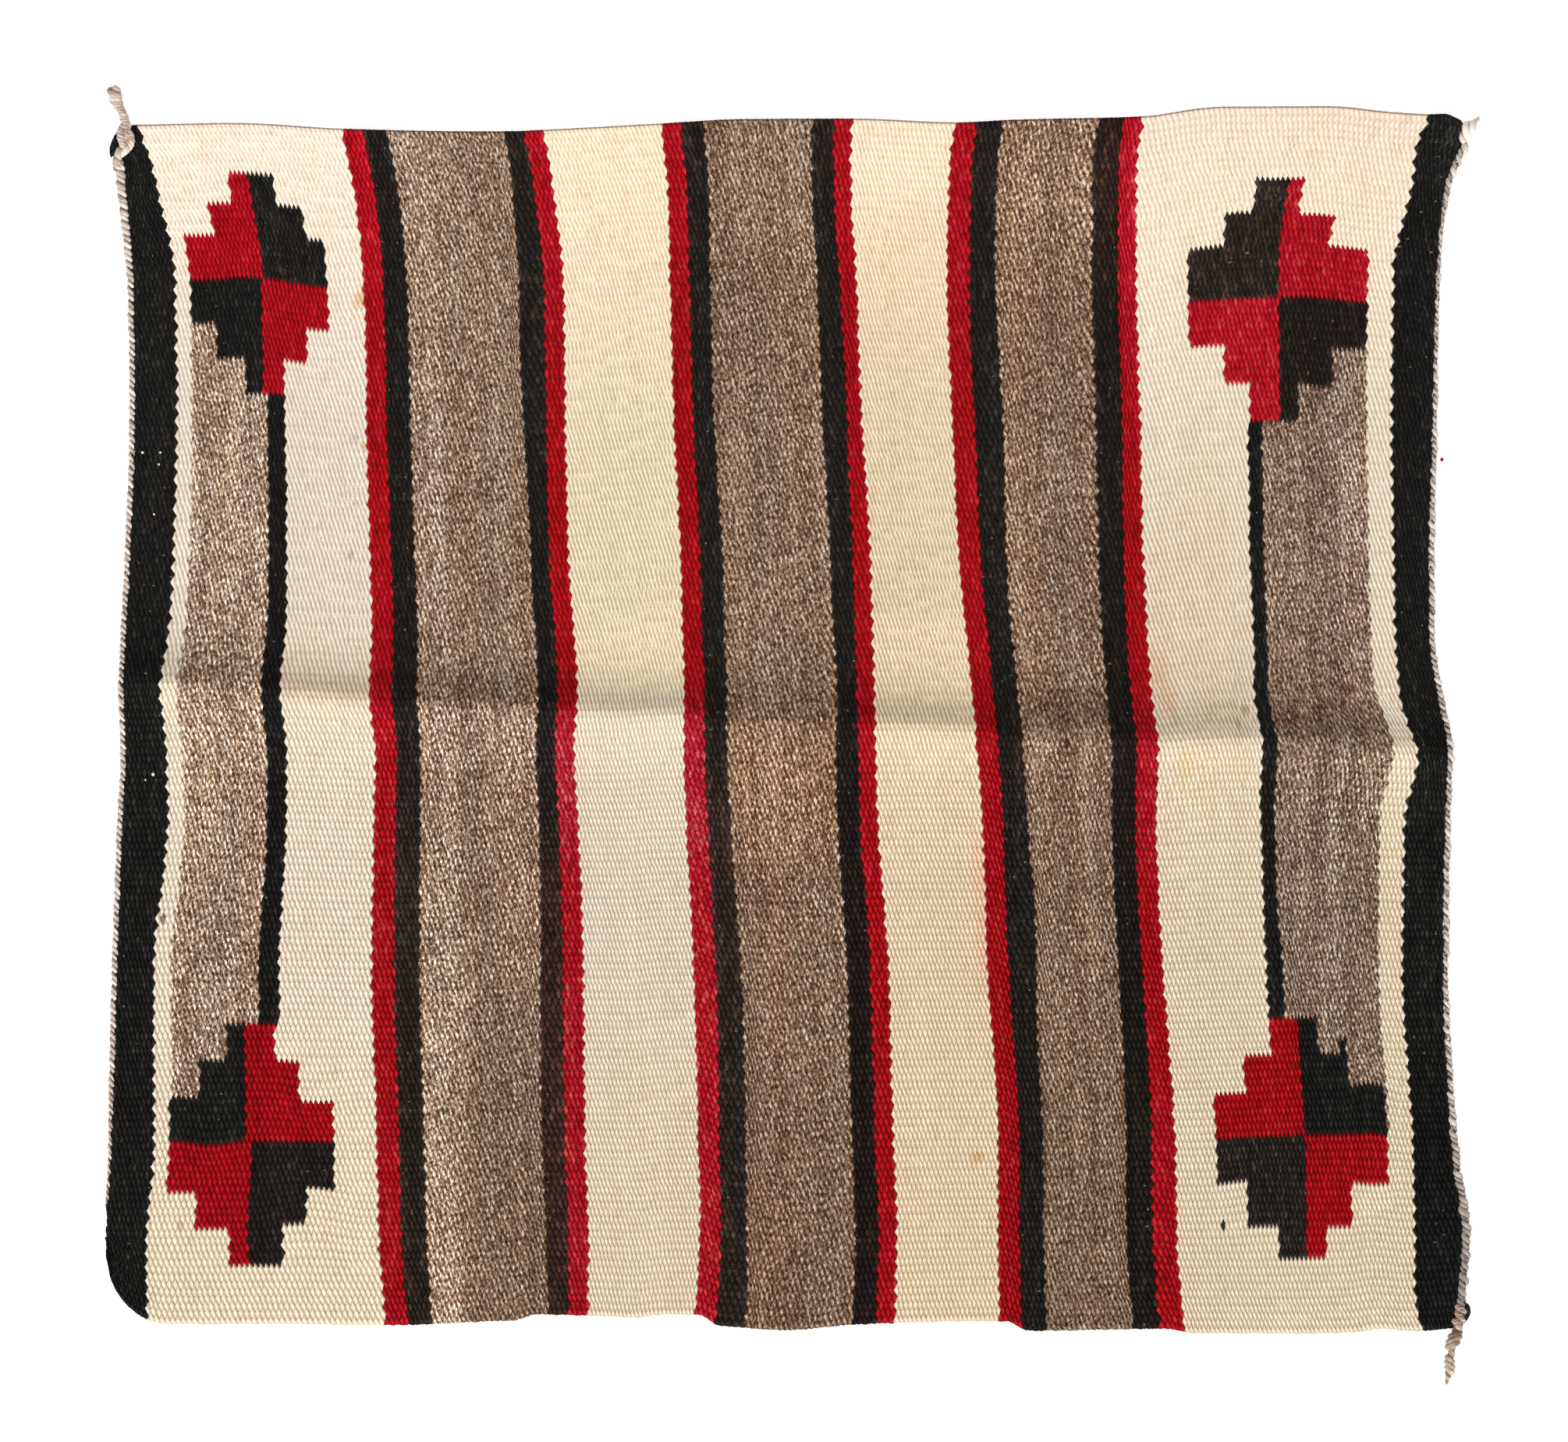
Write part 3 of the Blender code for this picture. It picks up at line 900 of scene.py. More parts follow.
class SharedEffects:
    """The shader node groups that every wool shares."""

    def __init__(self) -> None:
        """Build the groups once."""
        self.fibres = self.build_fibres()
        self.colour = self.build_colour()
        self.flecks = self.build_flecks()

    def build_fibres(self) -> bpy.types.NodeTree:
        """Make the fine slanting fibres of a spun yarn, from places in millimetres with the yarn along Y.

        Returns:
            The group.
        """
        build, start, end = new_group(
            "spun_fibres",
            {"Place": "NodeSocketVector"},
            {"Height": "NodeSocketFloat", "Streak": "NodeSocketFloat", "Heather": "NodeSocketFloat"},
        )
        place = start.outputs["Place"]
        fine = build.noise(place, FINE_FIBRES)
        broad = build.noise(place, BROAD_STREAKS)
        mottle = build.noise(place, HEATHER_MOTTLE)
        build.feed(
            end,
            Height=fine,
            Streak=build.math("ADD", fine, broad),
            Heather=build.math("SUBTRACT", mottle, NOISE_MIDDLE),
        )
        return build.tree

    def build_colour(self) -> bpy.types.NodeTree:
        """Make the wool's colour from its shade, its fibres, its grooves and its stains; the grooves are
        painted shade, and the stains hold painted shade and painted highlights as well as real stains and
        tones.

        Returns:
            The group.
        """
        build, start, end = new_group(
            "heathered_colour",
            {
                **dict.fromkeys(("Dark", "Body", "Light"), "NodeSocketColor"),
                **dict.fromkeys(("Shade", "Streak", "Heather", "Heather Strength"), "NodeSocketFloat"),
                **dict.fromkeys(("Groove", "Groove Strength"), "NodeSocketFloat"),
                "Stain": "NodeSocketColor",
            },
            {"Color": "NodeSocketColor"},
        )
        streak = build.math("SUBTRACT", start.outputs["Streak"], 2 * NOISE_MIDDLE)
        drift = build.math("MULTIPLY", streak, STREAK_SHARE)
        mottle = build.math("MULTIPLY", start.outputs["Heather"], start.outputs["Heather Strength"])
        shade = build.math("ADD", build.math("ADD", start.outputs["Shade"], drift), mottle)
        low = build.mix("MIX", build.fade(shade, 0.0, 0.5), start.outputs["Dark"], start.outputs["Body"])
        wool = build.mix("MIX", build.fade(shade, 0.5, 1.0), low, start.outputs["Light"])
        # The stain colour multiplies in real stains and tones, and painted shade and painted highlights
        stained = build.mix("MULTIPLY", 1.0, wool, start.outputs["Stain"])
        # Painted shade in the grooves, which takes more green and blue so that it looks warm
        shadow = build.math("POWER", start.outputs["Groove"], GROOVE_SHARPNESS)
        depth = build.math("MULTIPLY", shadow, start.outputs["Groove Strength"])
        left = build.math("SUBTRACT", 1.0, depth)
        light = build.add("ShaderNodeCombineColor")
        green = build.math("POWER", left, SHADOW_GREEN)
        build.feed(light, input_0=left, input_1=green, input_2=build.math("POWER", left, SHADOW_BLUE))
        build.feed(end, Color=build.mix("MULTIPLY", 1.0, stained, light.outputs[0]))
        return build.tree

    def build_flecks(self) -> bpy.types.NodeTree:
        """Make the small pale flecks of lint, as a mask, from places in millimetres.

        Returns:
            The group.
        """
        build, start, end = new_group(
            "pale_flecks",
            {"Place": "NodeSocketVector", "Amount": "NodeSocketFloat"},
            {"Mask": "NodeSocketFloat"},
        )
        cells = build.add("ShaderNodeTexVoronoi", feature="F1")
        build.feed(cells, Vector=start.outputs["Place"], Scale=FLECK_SCALE, Randomness=1.0)
        apart = build.add("ShaderNodeSeparateColor")
        build.feed(apart, Color=cells.outputs["Color"])
        size = build.math("MULTIPLY", apart.outputs[0], FLECK_SIZE)
        near = build.math("LESS_THAN", cells.outputs["Distance"], size)
        chosen = build.math("LESS_THAN", apart.outputs[1], start.outputs["Amount"])
        build.feed(end, Mask=build.math("MULTIPLY", near, chosen))
        return build.tree


def wool_material(finish: WoolFinish, effects: SharedEffects) -> bpy.types.Material:
    """Make the material of one wool.

    Args:
        finish: The wool.
        effects: The shared node groups.

    Returns:
        The material.
    """
    material = bpy.data.materials.new(finish.name)
    material.use_nodes = True
    material.diffuse_color = linear(finish.body)
    build = NodeBuilder(material.node_tree)
    shader = material.node_tree.nodes["Principled BSDF"]
    weave = build.add("ShaderNodeUVMap", uv_map=WEAVE_MAP)
    fibres = build.feed(build.add("ShaderNodeGroup", node_tree=effects.fibres), Place=weave.outputs[0])
    shade = build.add("ShaderNodeAttribute", attribute_name=SHADE)
    groove = build.add("ShaderNodeAttribute", attribute_name=PAINTED_GROOVE_SHADE)
    stain = build.add("ShaderNodeAttribute", attribute_name=STAIN_AND_PAINTED_LIGHT)
    colour = build.feed(
        build.add("ShaderNodeGroup", node_tree=effects.colour),
        Dark=linear(finish.dark),
        Body=linear(finish.body),
        Light=linear(finish.light),
        Shade=shade.outputs["Fac"],
        Streak=fibres.outputs["Streak"],
        Heather=fibres.outputs["Heather"],
        Heather_Strength=finish.heather,
        Groove=groove.outputs["Fac"],
        Groove_Strength=finish.groove,
        Stain=stain.outputs["Color"],
    ).outputs[0]
    if finish.flecks:
        flecks = build.add("ShaderNodeGroup", node_tree=effects.flecks)
        build.feed(flecks, Place=weave.outputs[0], Amount=finish.flecks)
        colour = build.mix("MIX", flecks.outputs[0], colour, linear(FLECK_COLOUR))
    bump = build.add("ShaderNodeBump")
    build.feed(bump, Height=fibres.outputs["Height"], Strength=finish.relief, Distance=FIBRE_RELIEF * MM)
    build.feed(
        shader,
        Base_Color=colour,
        Normal=bump.outputs[0],
        Roughness=finish.roughness,
        Specular_IOR_Level=finish.specular,
        Sheen_Weight=finish.sheen,
        Sheen_Roughness=SHEEN_ROUGHNESS,
    )
    return material


@dataclass(frozen=True)
class FaceStyle:
    """How the beads stand out on one face of the cloth.

    Each rib is cut into rows, which lie at other shares of it down the middle of a bead than down the gap
    between two beads. The depths are how far a gap, a bead's tip, and the cloth's rims lie below its crest.
    A bead's tips bite past the valley into the next ribs by a share of a rib.
    """

    parity: int
    bead_rows: tuple[float, ...]
    gap_rows: tuple[float, ...]
    gap: float
    tip_above: float
    tip_below: float
    selvedge: float
    end: float
    bite: float
    bulge: float


FACE = FaceStyle(0, (0.0, 0.20, 0.80), (0.0, 0.45, 0.55), 1.05, 0.80, 1.08, 1.5, 1.0, 0.42, 0.6)
UNDERSIDE = FaceStyle(1, (0.0, 0.5), (0.0, 0.5), 0.75, 0.80, 0.95, 1.4, 1.0, 0.25, 0.6)

# Heights: the cloth's thickness, and how far bead crests, bead tips and the whole cloth stray from theirs
THICKNESS = 4.05
CREST_WAVE = 0.07
TIP_WAVE = 0.08
CLOTH_WAVE = 0.12

# How rounded a bead is shaded, and how far beads and their tips lean sideways, in picks
ROUNDNESS = 0.6
LEAN = 0.85
LEAN_WAVE = 0.30
TIP_LEAN = 0.34
TIP_LEAN_MOST = 0.40
BEAD_JOG = 0.40

# How dark painted shade makes the grooves and rims, from 0 to 1, and how much softer it is on white wool near
# the top selvedge
ALONG_GAP = 0.75
ACROSS_ABOVE = 0.35
ACROSS_BELOW = 0.65
ROW_GROOVE = 0.85
RIM_GROOVE = 0.4
TOP_SOFTNESS = 0.35
TOP_REACH = 60.0

# The loops of weft around the selvedges, and the painted shade along the top one's rim
EDGE_SHARE = 0.22
TOP_LOOP = 0.35
LOOP_SIZE = 0.6
LOOP_SPREAD = 0.4
NOTCH = 0.25
TOP_RIM_SHADE = (0.60, 0.50, 0.52)

# The joins of both borders, which swing to and fro over a few picks
BORDER_JOINS = (18, 550)
JOIN_SWING = 0.3
JOIN_REACH = 3

# How much single beads stray in tone and hue, and how warmth is shared between red and blue
BEAD_SEED = 11
BEAD_TONE = 0.45
BEAD_TONE_MOST = 1.2
BEAD_HUE = 0.5
WARM_RED = 0.6

# Soft waves over the whole cloth; each streak noise has its share of the tone
JOG_NOISE = SmoothNoise(7, 8, 1.0)
LEAN_NOISE = SmoothNoise(6, 45, 16)
CLOTH_NOISE = SmoothNoise(5, 60, 18)
HUE_NOISE = SmoothNoise(31, 6, 22)
STREAK_NOISES = (
    (0.35, SmoothNoise(21, 1.0, 4)),
    (0.7, SmoothNoise(22, 3.0, 45)),
    (0.4, SmoothNoise(23, 14, 7)),
)


@dataclass
class FaceGrid:
    """One face of the whole cloth as a grid of points, with what its materials need.

    Each cell has four normals of its own, so that every bead looks round and meets the next in a sharp gap.
    They start at the cell's upper left and go round by the lower left. The grooves darken the wool with
    painted shade, and the stains hold its tones, painted shade and painted highlights as well as real stains.
    """

    style: FaceStyle
    rows: Array
    points: Array
    normals: Array
    groove: Array
    yarn: Array
    shade: Array
    stain: Array


CELL_CORNERS = ((0, 0), (1, 0), (1, 1), (0, 1))


def unit(vectors: Array) -> Array:
    """Scale vectors to a length of one."""
    return vectors / np.linalg.norm(vectors, axis=-1, keepdims=True)


def cell_normals(points: Array, crest: Array) -> Array:
    """Work out the four normals of each cell of a grid.

    Args:
        points: The grid's points.
        crest: Where they lie on the crest of a bead, as true or false.

    Returns:
        Upward normals, with the four corners of a cell in the third place.
    """
    flat = unit(np.cross(points[1:, 1:] - points[:-1, :-1], points[:-1, 1:] - points[1:, :-1]))
    total = np.zeros_like(points)
    height, width = flat.shape[:2]
    for down, right in CELL_CORNERS:
        total[down:height + down, right:width + right] += flat
    smooth = unit(total)
    found = []
    for down, right in CELL_CORNERS:
        own = (slice(down, height + down), slice(right, width + right))
        steep = unit(flat * (1 + ROUNDNESS) - smooth[own] * ROUNDNESS)
        found.append(np.where(crest[own][:, :, None], smooth[own], steep))
    return np.stack(found, axis=2)


class Weave:
    """Works out both faces of the cloth, bead by bead."""

    def __init__(self, lay: ClothLay, chart: Chart) -> None:
        """Draw how each bead strays.

        Args:
            lay: How the cloth lies.
            chart: Its chart.
        """
        self.lay = lay
        self.chart = chart
        shape = (RIBS + 1, PICKS + 2)
        rng = np.random.default_rng(BEAD_SEED)
        self.bead_height = rng.uniform(-1.0, 1.0, shape)
        self.bead_tone = rng.normal(0.0, BEAD_TONE, shape).clip(-BEAD_TONE_MOST, BEAD_TONE_MOST)
        self.bead_hue = rng.normal(0.0, BEAD_HUE, shape).clip(-1.0, 1.0)

    def face(self, style: FaceStyle) -> FaceGrid:
        """Work out one face.

        Args:
            style: How its beads stand out.

        Returns:
            The face's grid.
        """
        steps = len(style.bead_rows)
        number = np.arange(RIBS * steps + 1)
        rib, step = number // steps, number % steps
        rows = rib + step / steps
        column = np.arange(PICKS + 1)[None, :]
        on_bead = (column + rib[:, None] + style.parity) % 2 == 0
        valley = (step == 0)[:, None] & np.ones_like(on_bead)
        top_rim = (number == 0)[:, None]
        bottom_rim = (number == number[-1])[:, None]
        bead_share, gap_share = [np.array(own)[step][:, None] for own in (style.bead_rows, style.gap_rows)]
        share = np.where(on_bead, bead_share, gap_share)
        if style is FACE:
            share[1] = EDGE_SHARE
        bite = style.bite * np.where(on_bead, -1.0, 1.0) * ~(top_rim | bottom_rim)
        place = rib[:, None] + np.where(valley, bite, share)
        height = self.bead_height[rib][:, :PICKS + 1]

        x, y = self.lay.places(np.arange(PICKS + 1, dtype=float), rows)
        jog = BEAD_JOG * JOG_NOISE.at(column + 0.0, rows[:, None] + 0.5)
        x = x + (jog + self.lean(rows, column, share, valley, on_bead)) * np.gradient(x, axis=1)
        x = self.round_ends(x + self.swing(rib, step, column, style), on_bead, style)
        loop = style.bulge * (LOOP_SIZE + LOOP_SPREAD * height)
        y = y - (place - rows[:, None]) * RIB_PITCH
        y = y + np.where(on_bead, loop, -NOTCH) * TOP_LOOP * top_rim
        y = y - np.where(on_bead, -NOTCH, loop) * bottom_rim
        below = self.lay.crease.below(column / PICKS, place)
        tip = style.tip_above + (style.tip_below - style.tip_above) * below
        crest = np.where(on_bead, CREST_WAVE * (1 + height), style.gap)
        depth = np.where(valley, tip + TIP_WAVE * height, crest)
        depth = np.where(top_rim | bottom_rim, style.selvedge, depth)
        depth[:, [0, -1]] = np.maximum(depth[:, [0, -1]], style.end)
        wave = CLOTH_WAVE * CLOTH_NOISE.at(column.astype(float), rows[:, None])
        lift = self.lay.crease.lift(column, place)
        z = lift + (THICKNESS - depth + wave if style is FACE else depth)

        points = np.stack([x + CENTRE_X, y + CENTRE_Y, z], axis=2)
        normals = cell_normals(points, on_bead & ~valley) * (1.0 if style is FACE else -1.0)
        pick, yarn = self.chart.cells(style.parity)
        shade, tints = self.shade(pick, yarn), self.tints(pick, yarn)
        cell = number[:-1] // steps
        yarn, shade, tints = yarn[cell], shade[cell], tints[cell]
        # Painted shade along the top selvedge's rim, which faces away from the key light
        tints[0, :, :3] *= TOP_RIM_SHADE
        # Painted shade in the grooves: across the ribs it is darker below the crease, and it is softer on
        # white wool near the top
        across = ACROSS_ABOVE + (ACROSS_BELOW - ACROSS_ABOVE) * below
        groove = self.groove(on_bead, valley, across, np.isin(yarn, (Yarn.RED, Yarn.BLACK)))
        near_top = (1 - rows[:-1, None] / TOP_REACH).clip(0.0, 1.0)
        groove = groove * (1 - TOP_SOFTNESS * near_top * (yarn == Yarn.WHITE))[:, :, None]
        return FaceGrid(style, place, points, normals, groove, yarn, shade, tints)

    def groove(self, on_bead: Array, valley: Array, across: Array, ridged: Array) -> Array:
        """Tell how deep in a groove each cell's corners lie, from 0 to 1, which sets how dark painted shade
        makes them.

        As the beads slant, the grooves along their long sides run on from rib to rib, and those between the
        end of one bead and the start of the next are shallow.

        Args:
            on_bead: Where the grid's points lie on a bead.
            valley: Where they lie between two ribs.
            across: How deep the short grooves are there.
            ridged: Which cells are of a wool that shows dark lines between its ribs.

        Returns:
            The values, with the four corners of a cell in the third place.
        """
        height, width = on_bead.shape[0] - 1, on_bead.shape[1] - 1
        edge = np.where(on_bead[:, :-1], ALONG_GAP, across[:, :-1])
        point = np.where(on_bead, 0.0, 1.0)
        found = []
        for down, right in CELL_CORNERS:
            rows = slice(down, height + down)
            low = valley[rows, :-1]
            value = np.where(low, edge[rows], point[rows, right:width + right])
            found.append(np.where(low & ridged, np.maximum(value, ROW_GROOVE), value))
        return np.stack(found, axis=2)

    def lean(self, rows: Array, column: Array, share: Array, valley: Array, on_bead: Array) -> Array:
        """Tell how far each place leans sideways, as beads slant from upper left to lower right.

        Args:
            rows: The rib of each row of the grid.
            column: The columns.
            share: How far across its rib each place lies.
            valley: Where the places lie between two ribs.
            on_bead: Where they lie on a bead.

        Returns:
            The moves in picks.
        """
        amount = LEAN + LEAN_WAVE * LEAN_NOISE.at(column.astype(float), rows[:, None])
        tip = np.minimum(TIP_LEAN * amount, TIP_LEAN_MOST)
        return np.where(valley, np.where(on_bead, -tip, tip), (share - 0.5) * amount)

    def swing(self, rib: Array, step: Array, column: Array, style: FaceStyle) -> Array:
        """Tell how far the joins of both borders swing to and fro from rib to rib.

        Args:
            rib: The rib of each row.
            step: The row's place in its rib, 0 between two ribs.
            column: The columns.
            style: The face's style.

        Returns:
            The moves in X.
        """
        total = np.zeros((len(rib), column.shape[1]))
        for join in BORDER_JOINS:
            outer = (join - 1 + rib + style.parity) % 2 == 0
            way = np.where(step == 0, 0.0, np.where(outer, JOIN_SWING, -JOIN_SWING))
            near = np.maximum(1 - np.abs(column - join + 0.5) / JOIN_REACH, 0.0)
            total += way[:, None] * near * PICK_PITCH
        return total

    def round_ends(self, x: Array, on_bead: Array, style: FaceStyle) -> Array:
        """Let the last beads bulge past both ends of the field.

        Args:
            x: X of the grid's points.
            on_bead: Where they lie on a bead.
            style: The face's style.

        Returns:
            The new X of the points.
        """
        x = x.copy()
        x[:, 0] -= np.where(on_bead[:, 0], style.bulge, -NOTCH)
        x[:, -1] += np.where(on_bead[:, -1], style.bulge, -NOTCH)
        return x

    def shade(self, pick: Array, yarn: Array) -> Array:
        """Work out each cell's shade.

        Args:
            pick: The pick of each cell, with one row for each rib.
            yarn: The yarn of each cell.

        Returns:
            Shades from 0 for the darkest wool to 1 for the lightest.
        """
        rib = np.arange(RIBS)[:, None] + 0 * pick
        streak = sum(share * noise.at(pick.astype(float), rib) for share, noise in STREAK_NOISES)
        bead_spread = np.array([FINISHES[y].bead_spread for y in Yarn])[yarn]
        streak_spread = np.array([FINISHES[y].streak_spread for y in Yarn])[yarn]
        stray = bead_spread * self.bead_tone[rib, pick] + streak_spread * streak
        return (0.5 + 0.5 * stray).clip(0.0, 1.0)

    def tints(self, pick: Array, yarn: Array) -> Array:
        """Work out the colour that each cell's wool is multiplied by: its hue, its tones, its stains, and
        painted shade and painted highlights around the crease.

        Args:
            pick: The pick of each cell, with one row for each rib.
            yarn: The yarn of each cell.

        Returns:
            The colours in four channels.
        """
        rib = np.arange(RIBS)[:, None] + 0.5 + 0.0 * pick
        hue = self.bead_hue[np.arange(RIBS)[:, None], pick] + HUE_NOISE.at(pick + 0.0, rib)
        warm = np.array([FINISHES[y].hue_spread for y in Yarn])[yarn] * hue
        tint = np.ones((RIBS, PICKS, 4))
        tint[:, :, 0] += WARM_RED * warm
        tint[:, :, 2] -= warm
        for area in TONE_AND_PAINTED_LIGHT_AREAS:
            share = area.share(pick, rib, yarn)[:, :, None]
            tint[:, :, :3] *= 1 + share * (np.array(area.colour) - 1)
        for mark in MARKS:
            share = mark.share(pick, rib)[:, :, None]
            tint[:, :, :3] *= 1 - share * (1 - np.array(mark.tint) / BRIGHTEST)
        return tint


@dataclass(frozen=True)
class Band:
    """A length of the field from one pick to another, which makes one mesh."""

    name: str
    first: int
    end: int


BANDS = (
    Band("left_panel", 0, 105),
    Band("first_band", 105, 189),
    Band("second_panel", 189, 243),
    Band("middle_band", 243, 319),
    Band("third_panel", 319, 365),
    Band("last_band", 365, 440),
    Band("right_panel", 440, 542),
    Band("right_border", 542, PICKS),
)


@dataclass(frozen=True)
class MeshValue:
    """A value or colour that a mesh carries on each of its points, faces or corners."""

    name: str
    domain: str
    values: list[Array]

    def write(self, mesh: bpy.types.Mesh) -> None:
        """Write the value into a mesh.

        Args:
            mesh: The mesh.
        """
        values = np.concatenate(self.values).astype(np.float32)
        kind, key = ("FLOAT_COLOR", "color") if values.ndim == 2 else ("FLOAT", "value")
        mesh.attributes.new(self.name, kind, self.domain).data.foreach_set(key, values.ravel())


@dataclass
class MeshParts:
    """What is gathered for one mesh: its faces, their slots, their places on its maps and their values."""

    faces: list[list[int]] = field(default_factory=list)
    slots: list[Array] = field(default_factory=list)
    maps: dict[str, list[Array]] = field(default_factory=dict)
    values: list[MeshValue] = field(default_factory=list)

    def to_object(self, name: str, points: Array, materials: list[bpy.types.Material]) -> bpy.types.Object:
        """Turn the gathered faces into a mesh object.

        Args:
            name: Its name.
            points: Its vertices in millimetres.
            materials: Its materials in the order of the slots.

        Returns:
            The mesh object.
        """
        mesh = bpy.data.meshes.new(name)
        mesh.from_pydata(points * MM, [], self.faces)
        for material in materials:
            mesh.materials.append(material)
        mesh.polygons.foreach_set("material_index", np.concatenate(self.slots).astype(np.int32))
        mesh.polygons.foreach_set("use_smooth", np.ones(len(self.faces), bool))
        for map_name, places in self.maps.items():
            layer = mesh.uv_layers.new(name=map_name, do_init=False)
            layer.uv.foreach_set("vector", np.concatenate(places).astype(np.float32).ravel())
        for value in self.values:
            value.write(mesh)
        mesh.update()
        thing = bpy.data.objects.new(name, mesh)
        bpy.context.scene.collection.objects.link(thing)
        return thing


def corner_pairs(pairs: list[tuple[Array | float, Array | float]]) -> Array:
    """Gather a pair of values for each corner of many faces; the corners and the pair come last."""
    return np.stack([np.stack(np.broadcast_arrays(u, v), axis=-1) for u, v in pairs], axis=-2)


# Corners of the faces that close a selvedge, as (face or underside, pick) from the cell's first
SELVEDGE_CORNERS = ((0, 0), (0, 1), (1, 1), (1, 0))

# Corners of the three faces that close a rib's end, as (face or underside, row) from the rib's first
END_FACES = (
    ((0, 0), (1, 0), (1, 1), (0, 1)),
    ((0, 1), (1, 1), (0, 2)),
    ((0, 2), (1, 1), (1, 2), (0, 3)),
)
RIM_STRIPS = 4


@dataclass
class FieldBand:
    """One band of the field as a closed mesh with both faces and its rims.

    On the bake map both faces lie in strips up to one share of its width, and the rims in narrow strips
    beside them, each with a margin.
    """

    band: Band
    face: FaceGrid
    underside: FaceGrid
    rims_from: float = 0.955
    margin: float = 0.004
    rim_inset: float = 0.15
    rim_share: float = 0.7
    rim_width: float = 2.0

    def __post_init__(self) -> None:
        """Gather the points of both faces."""
        own = slice(self.band.first, self.band.end + 1)
        self.width = self.band.end + 1 - self.band.first
        grids = (self.face, self.underside)
        self.points = np.concatenate([grid.points[:, own].reshape(-1, 3) for grid in grids])
        self.normals: list[Array] = []
        self.shade: list[Array] = []
        # The stains hold tones, painted shade and painted highlights besides real stains; the grooves hold
        # painted shade
        self.stain: list[Array] = []
        self.groove: list[Array] = []
        self.bake: list[Array] = []
        self.weave: list[Array] = []
        self.parts = MeshParts(
            maps={BAKE_MAP: self.bake, WEAVE_MAP: self.weave},
            values=[
                MeshValue(SHADE, "FACE", self.shade),
                MeshValue(STAIN_AND_PAINTED_LIGHT, "FACE", self.stain),
                MeshValue(PAINTED_GROOVE_SHADE, "CORNER", self.groove),
            ],
        )

    def build(self, materials: list[bpy.types.Material]) -> bpy.types.Object:
        """Make the band.

        Args:
            materials: The wools in the order of the yarns.

        Returns:
            The mesh object.
        """
        under = len(self.face.points) * self.width
        self.add_face(self.face, 0, 0)
        self.add_face(self.underside, under, 1)
        self.add_selvedges(under)
        self.add_ends(under)
        thing = self.parts.to_object(self.band.name, self.points, materials)
        thing.data.normals_split_custom_set(np.concatenate(self.normals))
        return thing

    def folds(self) -> int:
        """Say how many strips each face is cut into on the bake map, so that they fill a square."""
        width = (self.band.end - self.band.first) * PICK_PITCH
        return max(1, round(math.sqrt(RIBS * RIB_PITCH / (2 * width))))

    def add_face(self, grid: FaceGrid, start: int, side: int) -> None:
        """Add the cells of one face.

        Args:
            grid: The face of the whole cloth.
            start: Number of its first vertex.
            side: 0 for the face and 1 for the underside.
        """
        rows = len(grid.points)
        row = np.arange(rows - 1)[:, None]
        column = np.arange(self.width - 1)[None, :]
        corner = start + row * self.width + column
        order = slice(None, None, -1 if side else 1)
        places = CELL_CORNERS[order]
        turn = [corner + down * self.width + right for down, right in places]
        self.parts.faces += np.stack(turn, axis=2).reshape(-1, 4).tolist()
        own = slice(self.band.first, self.band.end)
        self.parts.slots.append(grid.yarn[:, own].ravel())
        self.normals.append(grid.normals[:, own, order].reshape(-1, 3))
        self.groove.append(grid.groove[:, own, order].ravel())
        self.shade.append(grid.shade[:, own].ravel())
        self.stain.append(grid.stain[:, own].reshape(-1, 4))
        picks = self.band.first + column
        weave = [
            (picks * PICK_PITCH + right * PICK_PITCH, grid.rows[row + down, picks + right] * RIB_PITCH)
            for down, right in places
        ]
        self.weave.append(corner_pairs(weave).reshape(-1, 2))
        self.bake.append(self.bake_places(row, column, side).reshape(-1, 2))

    def bake_places(self, row: Array, column: Array, side: int) -> Array:
        """Fold one face into strips that lie side by side on the bake map.

        Args:
            row: The rows of its cells.
            column: Their columns in the band.
            side: 0 for the face and 1 for the underside.

        Returns:
            The place of each cell's four corners.
        """
        folds = self.folds()
        starts = np.linspace(0, len(row), folds + 1).round()
        fold = (np.searchsorted(starts, row, side="right") - 1).clip(0, folds - 1)
        low, high = starts[fold], starts[fold + 1]
        wide = self.rims_from / (2 * folds)
        left = (side * folds + fold) * wide + self.margin
        found = []
        for down, right in CELL_CORNERS[::-1 if side else 1]:
            u = left + (column + right) / (self.width - 1) * (wide - 2 * self.margin)
            v = self.margin + (1 - 2 * self.margin) * (row + down - low) / (high - low)
            found.append((u, v))
        return corner_pairs(found)

    def add_strip(
        self, faces: Array, cells: tuple[Array, Array], along: Array, strip: int, weave: Array
    ) -> None:
        """Add faces of a rim, which lie in a narrow strip of the bake map.

        Args:
            faces: Vertex numbers of each face.
            cells: Row and column of the cell on the face that each one continues.
            along: For each corner, how far along the rim it lies, from 0 to 1, and 0 or 1 for its side.
            strip: Which of the four strips it lies in.
            weave: For each corner, its place for the fibres.
        """
        corner = self.points[faces]
        flat = unit(np.cross(corner[:, 1] - corner[:, 0], corner[:, -1] - corner[:, 0]))
        self.parts.faces += faces.tolist()
        self.parts.slots.append(self.face.yarn[cells])
        self.normals.append(np.repeat(flat, faces.shape[1], axis=0))
        self.groove.append(np.full(faces.size, RIM_GROOVE))
        self.shade.append(self.face.shade[cells])
        self.stain.append(self.face.stain[cells])
        self.weave.append(weave.reshape(-1, 2))
        wide = (1 - self.rims_from) / RIM_STRIPS
        u = self.rims_from + strip * wide + wide * (self.rim_inset + self.rim_share * along[..., 1])
        v = self.margin + (1 - 2 * self.margin) * along[..., 0]
        self.bake.append(np.stack([u, v], axis=-1).reshape(-1, 2))

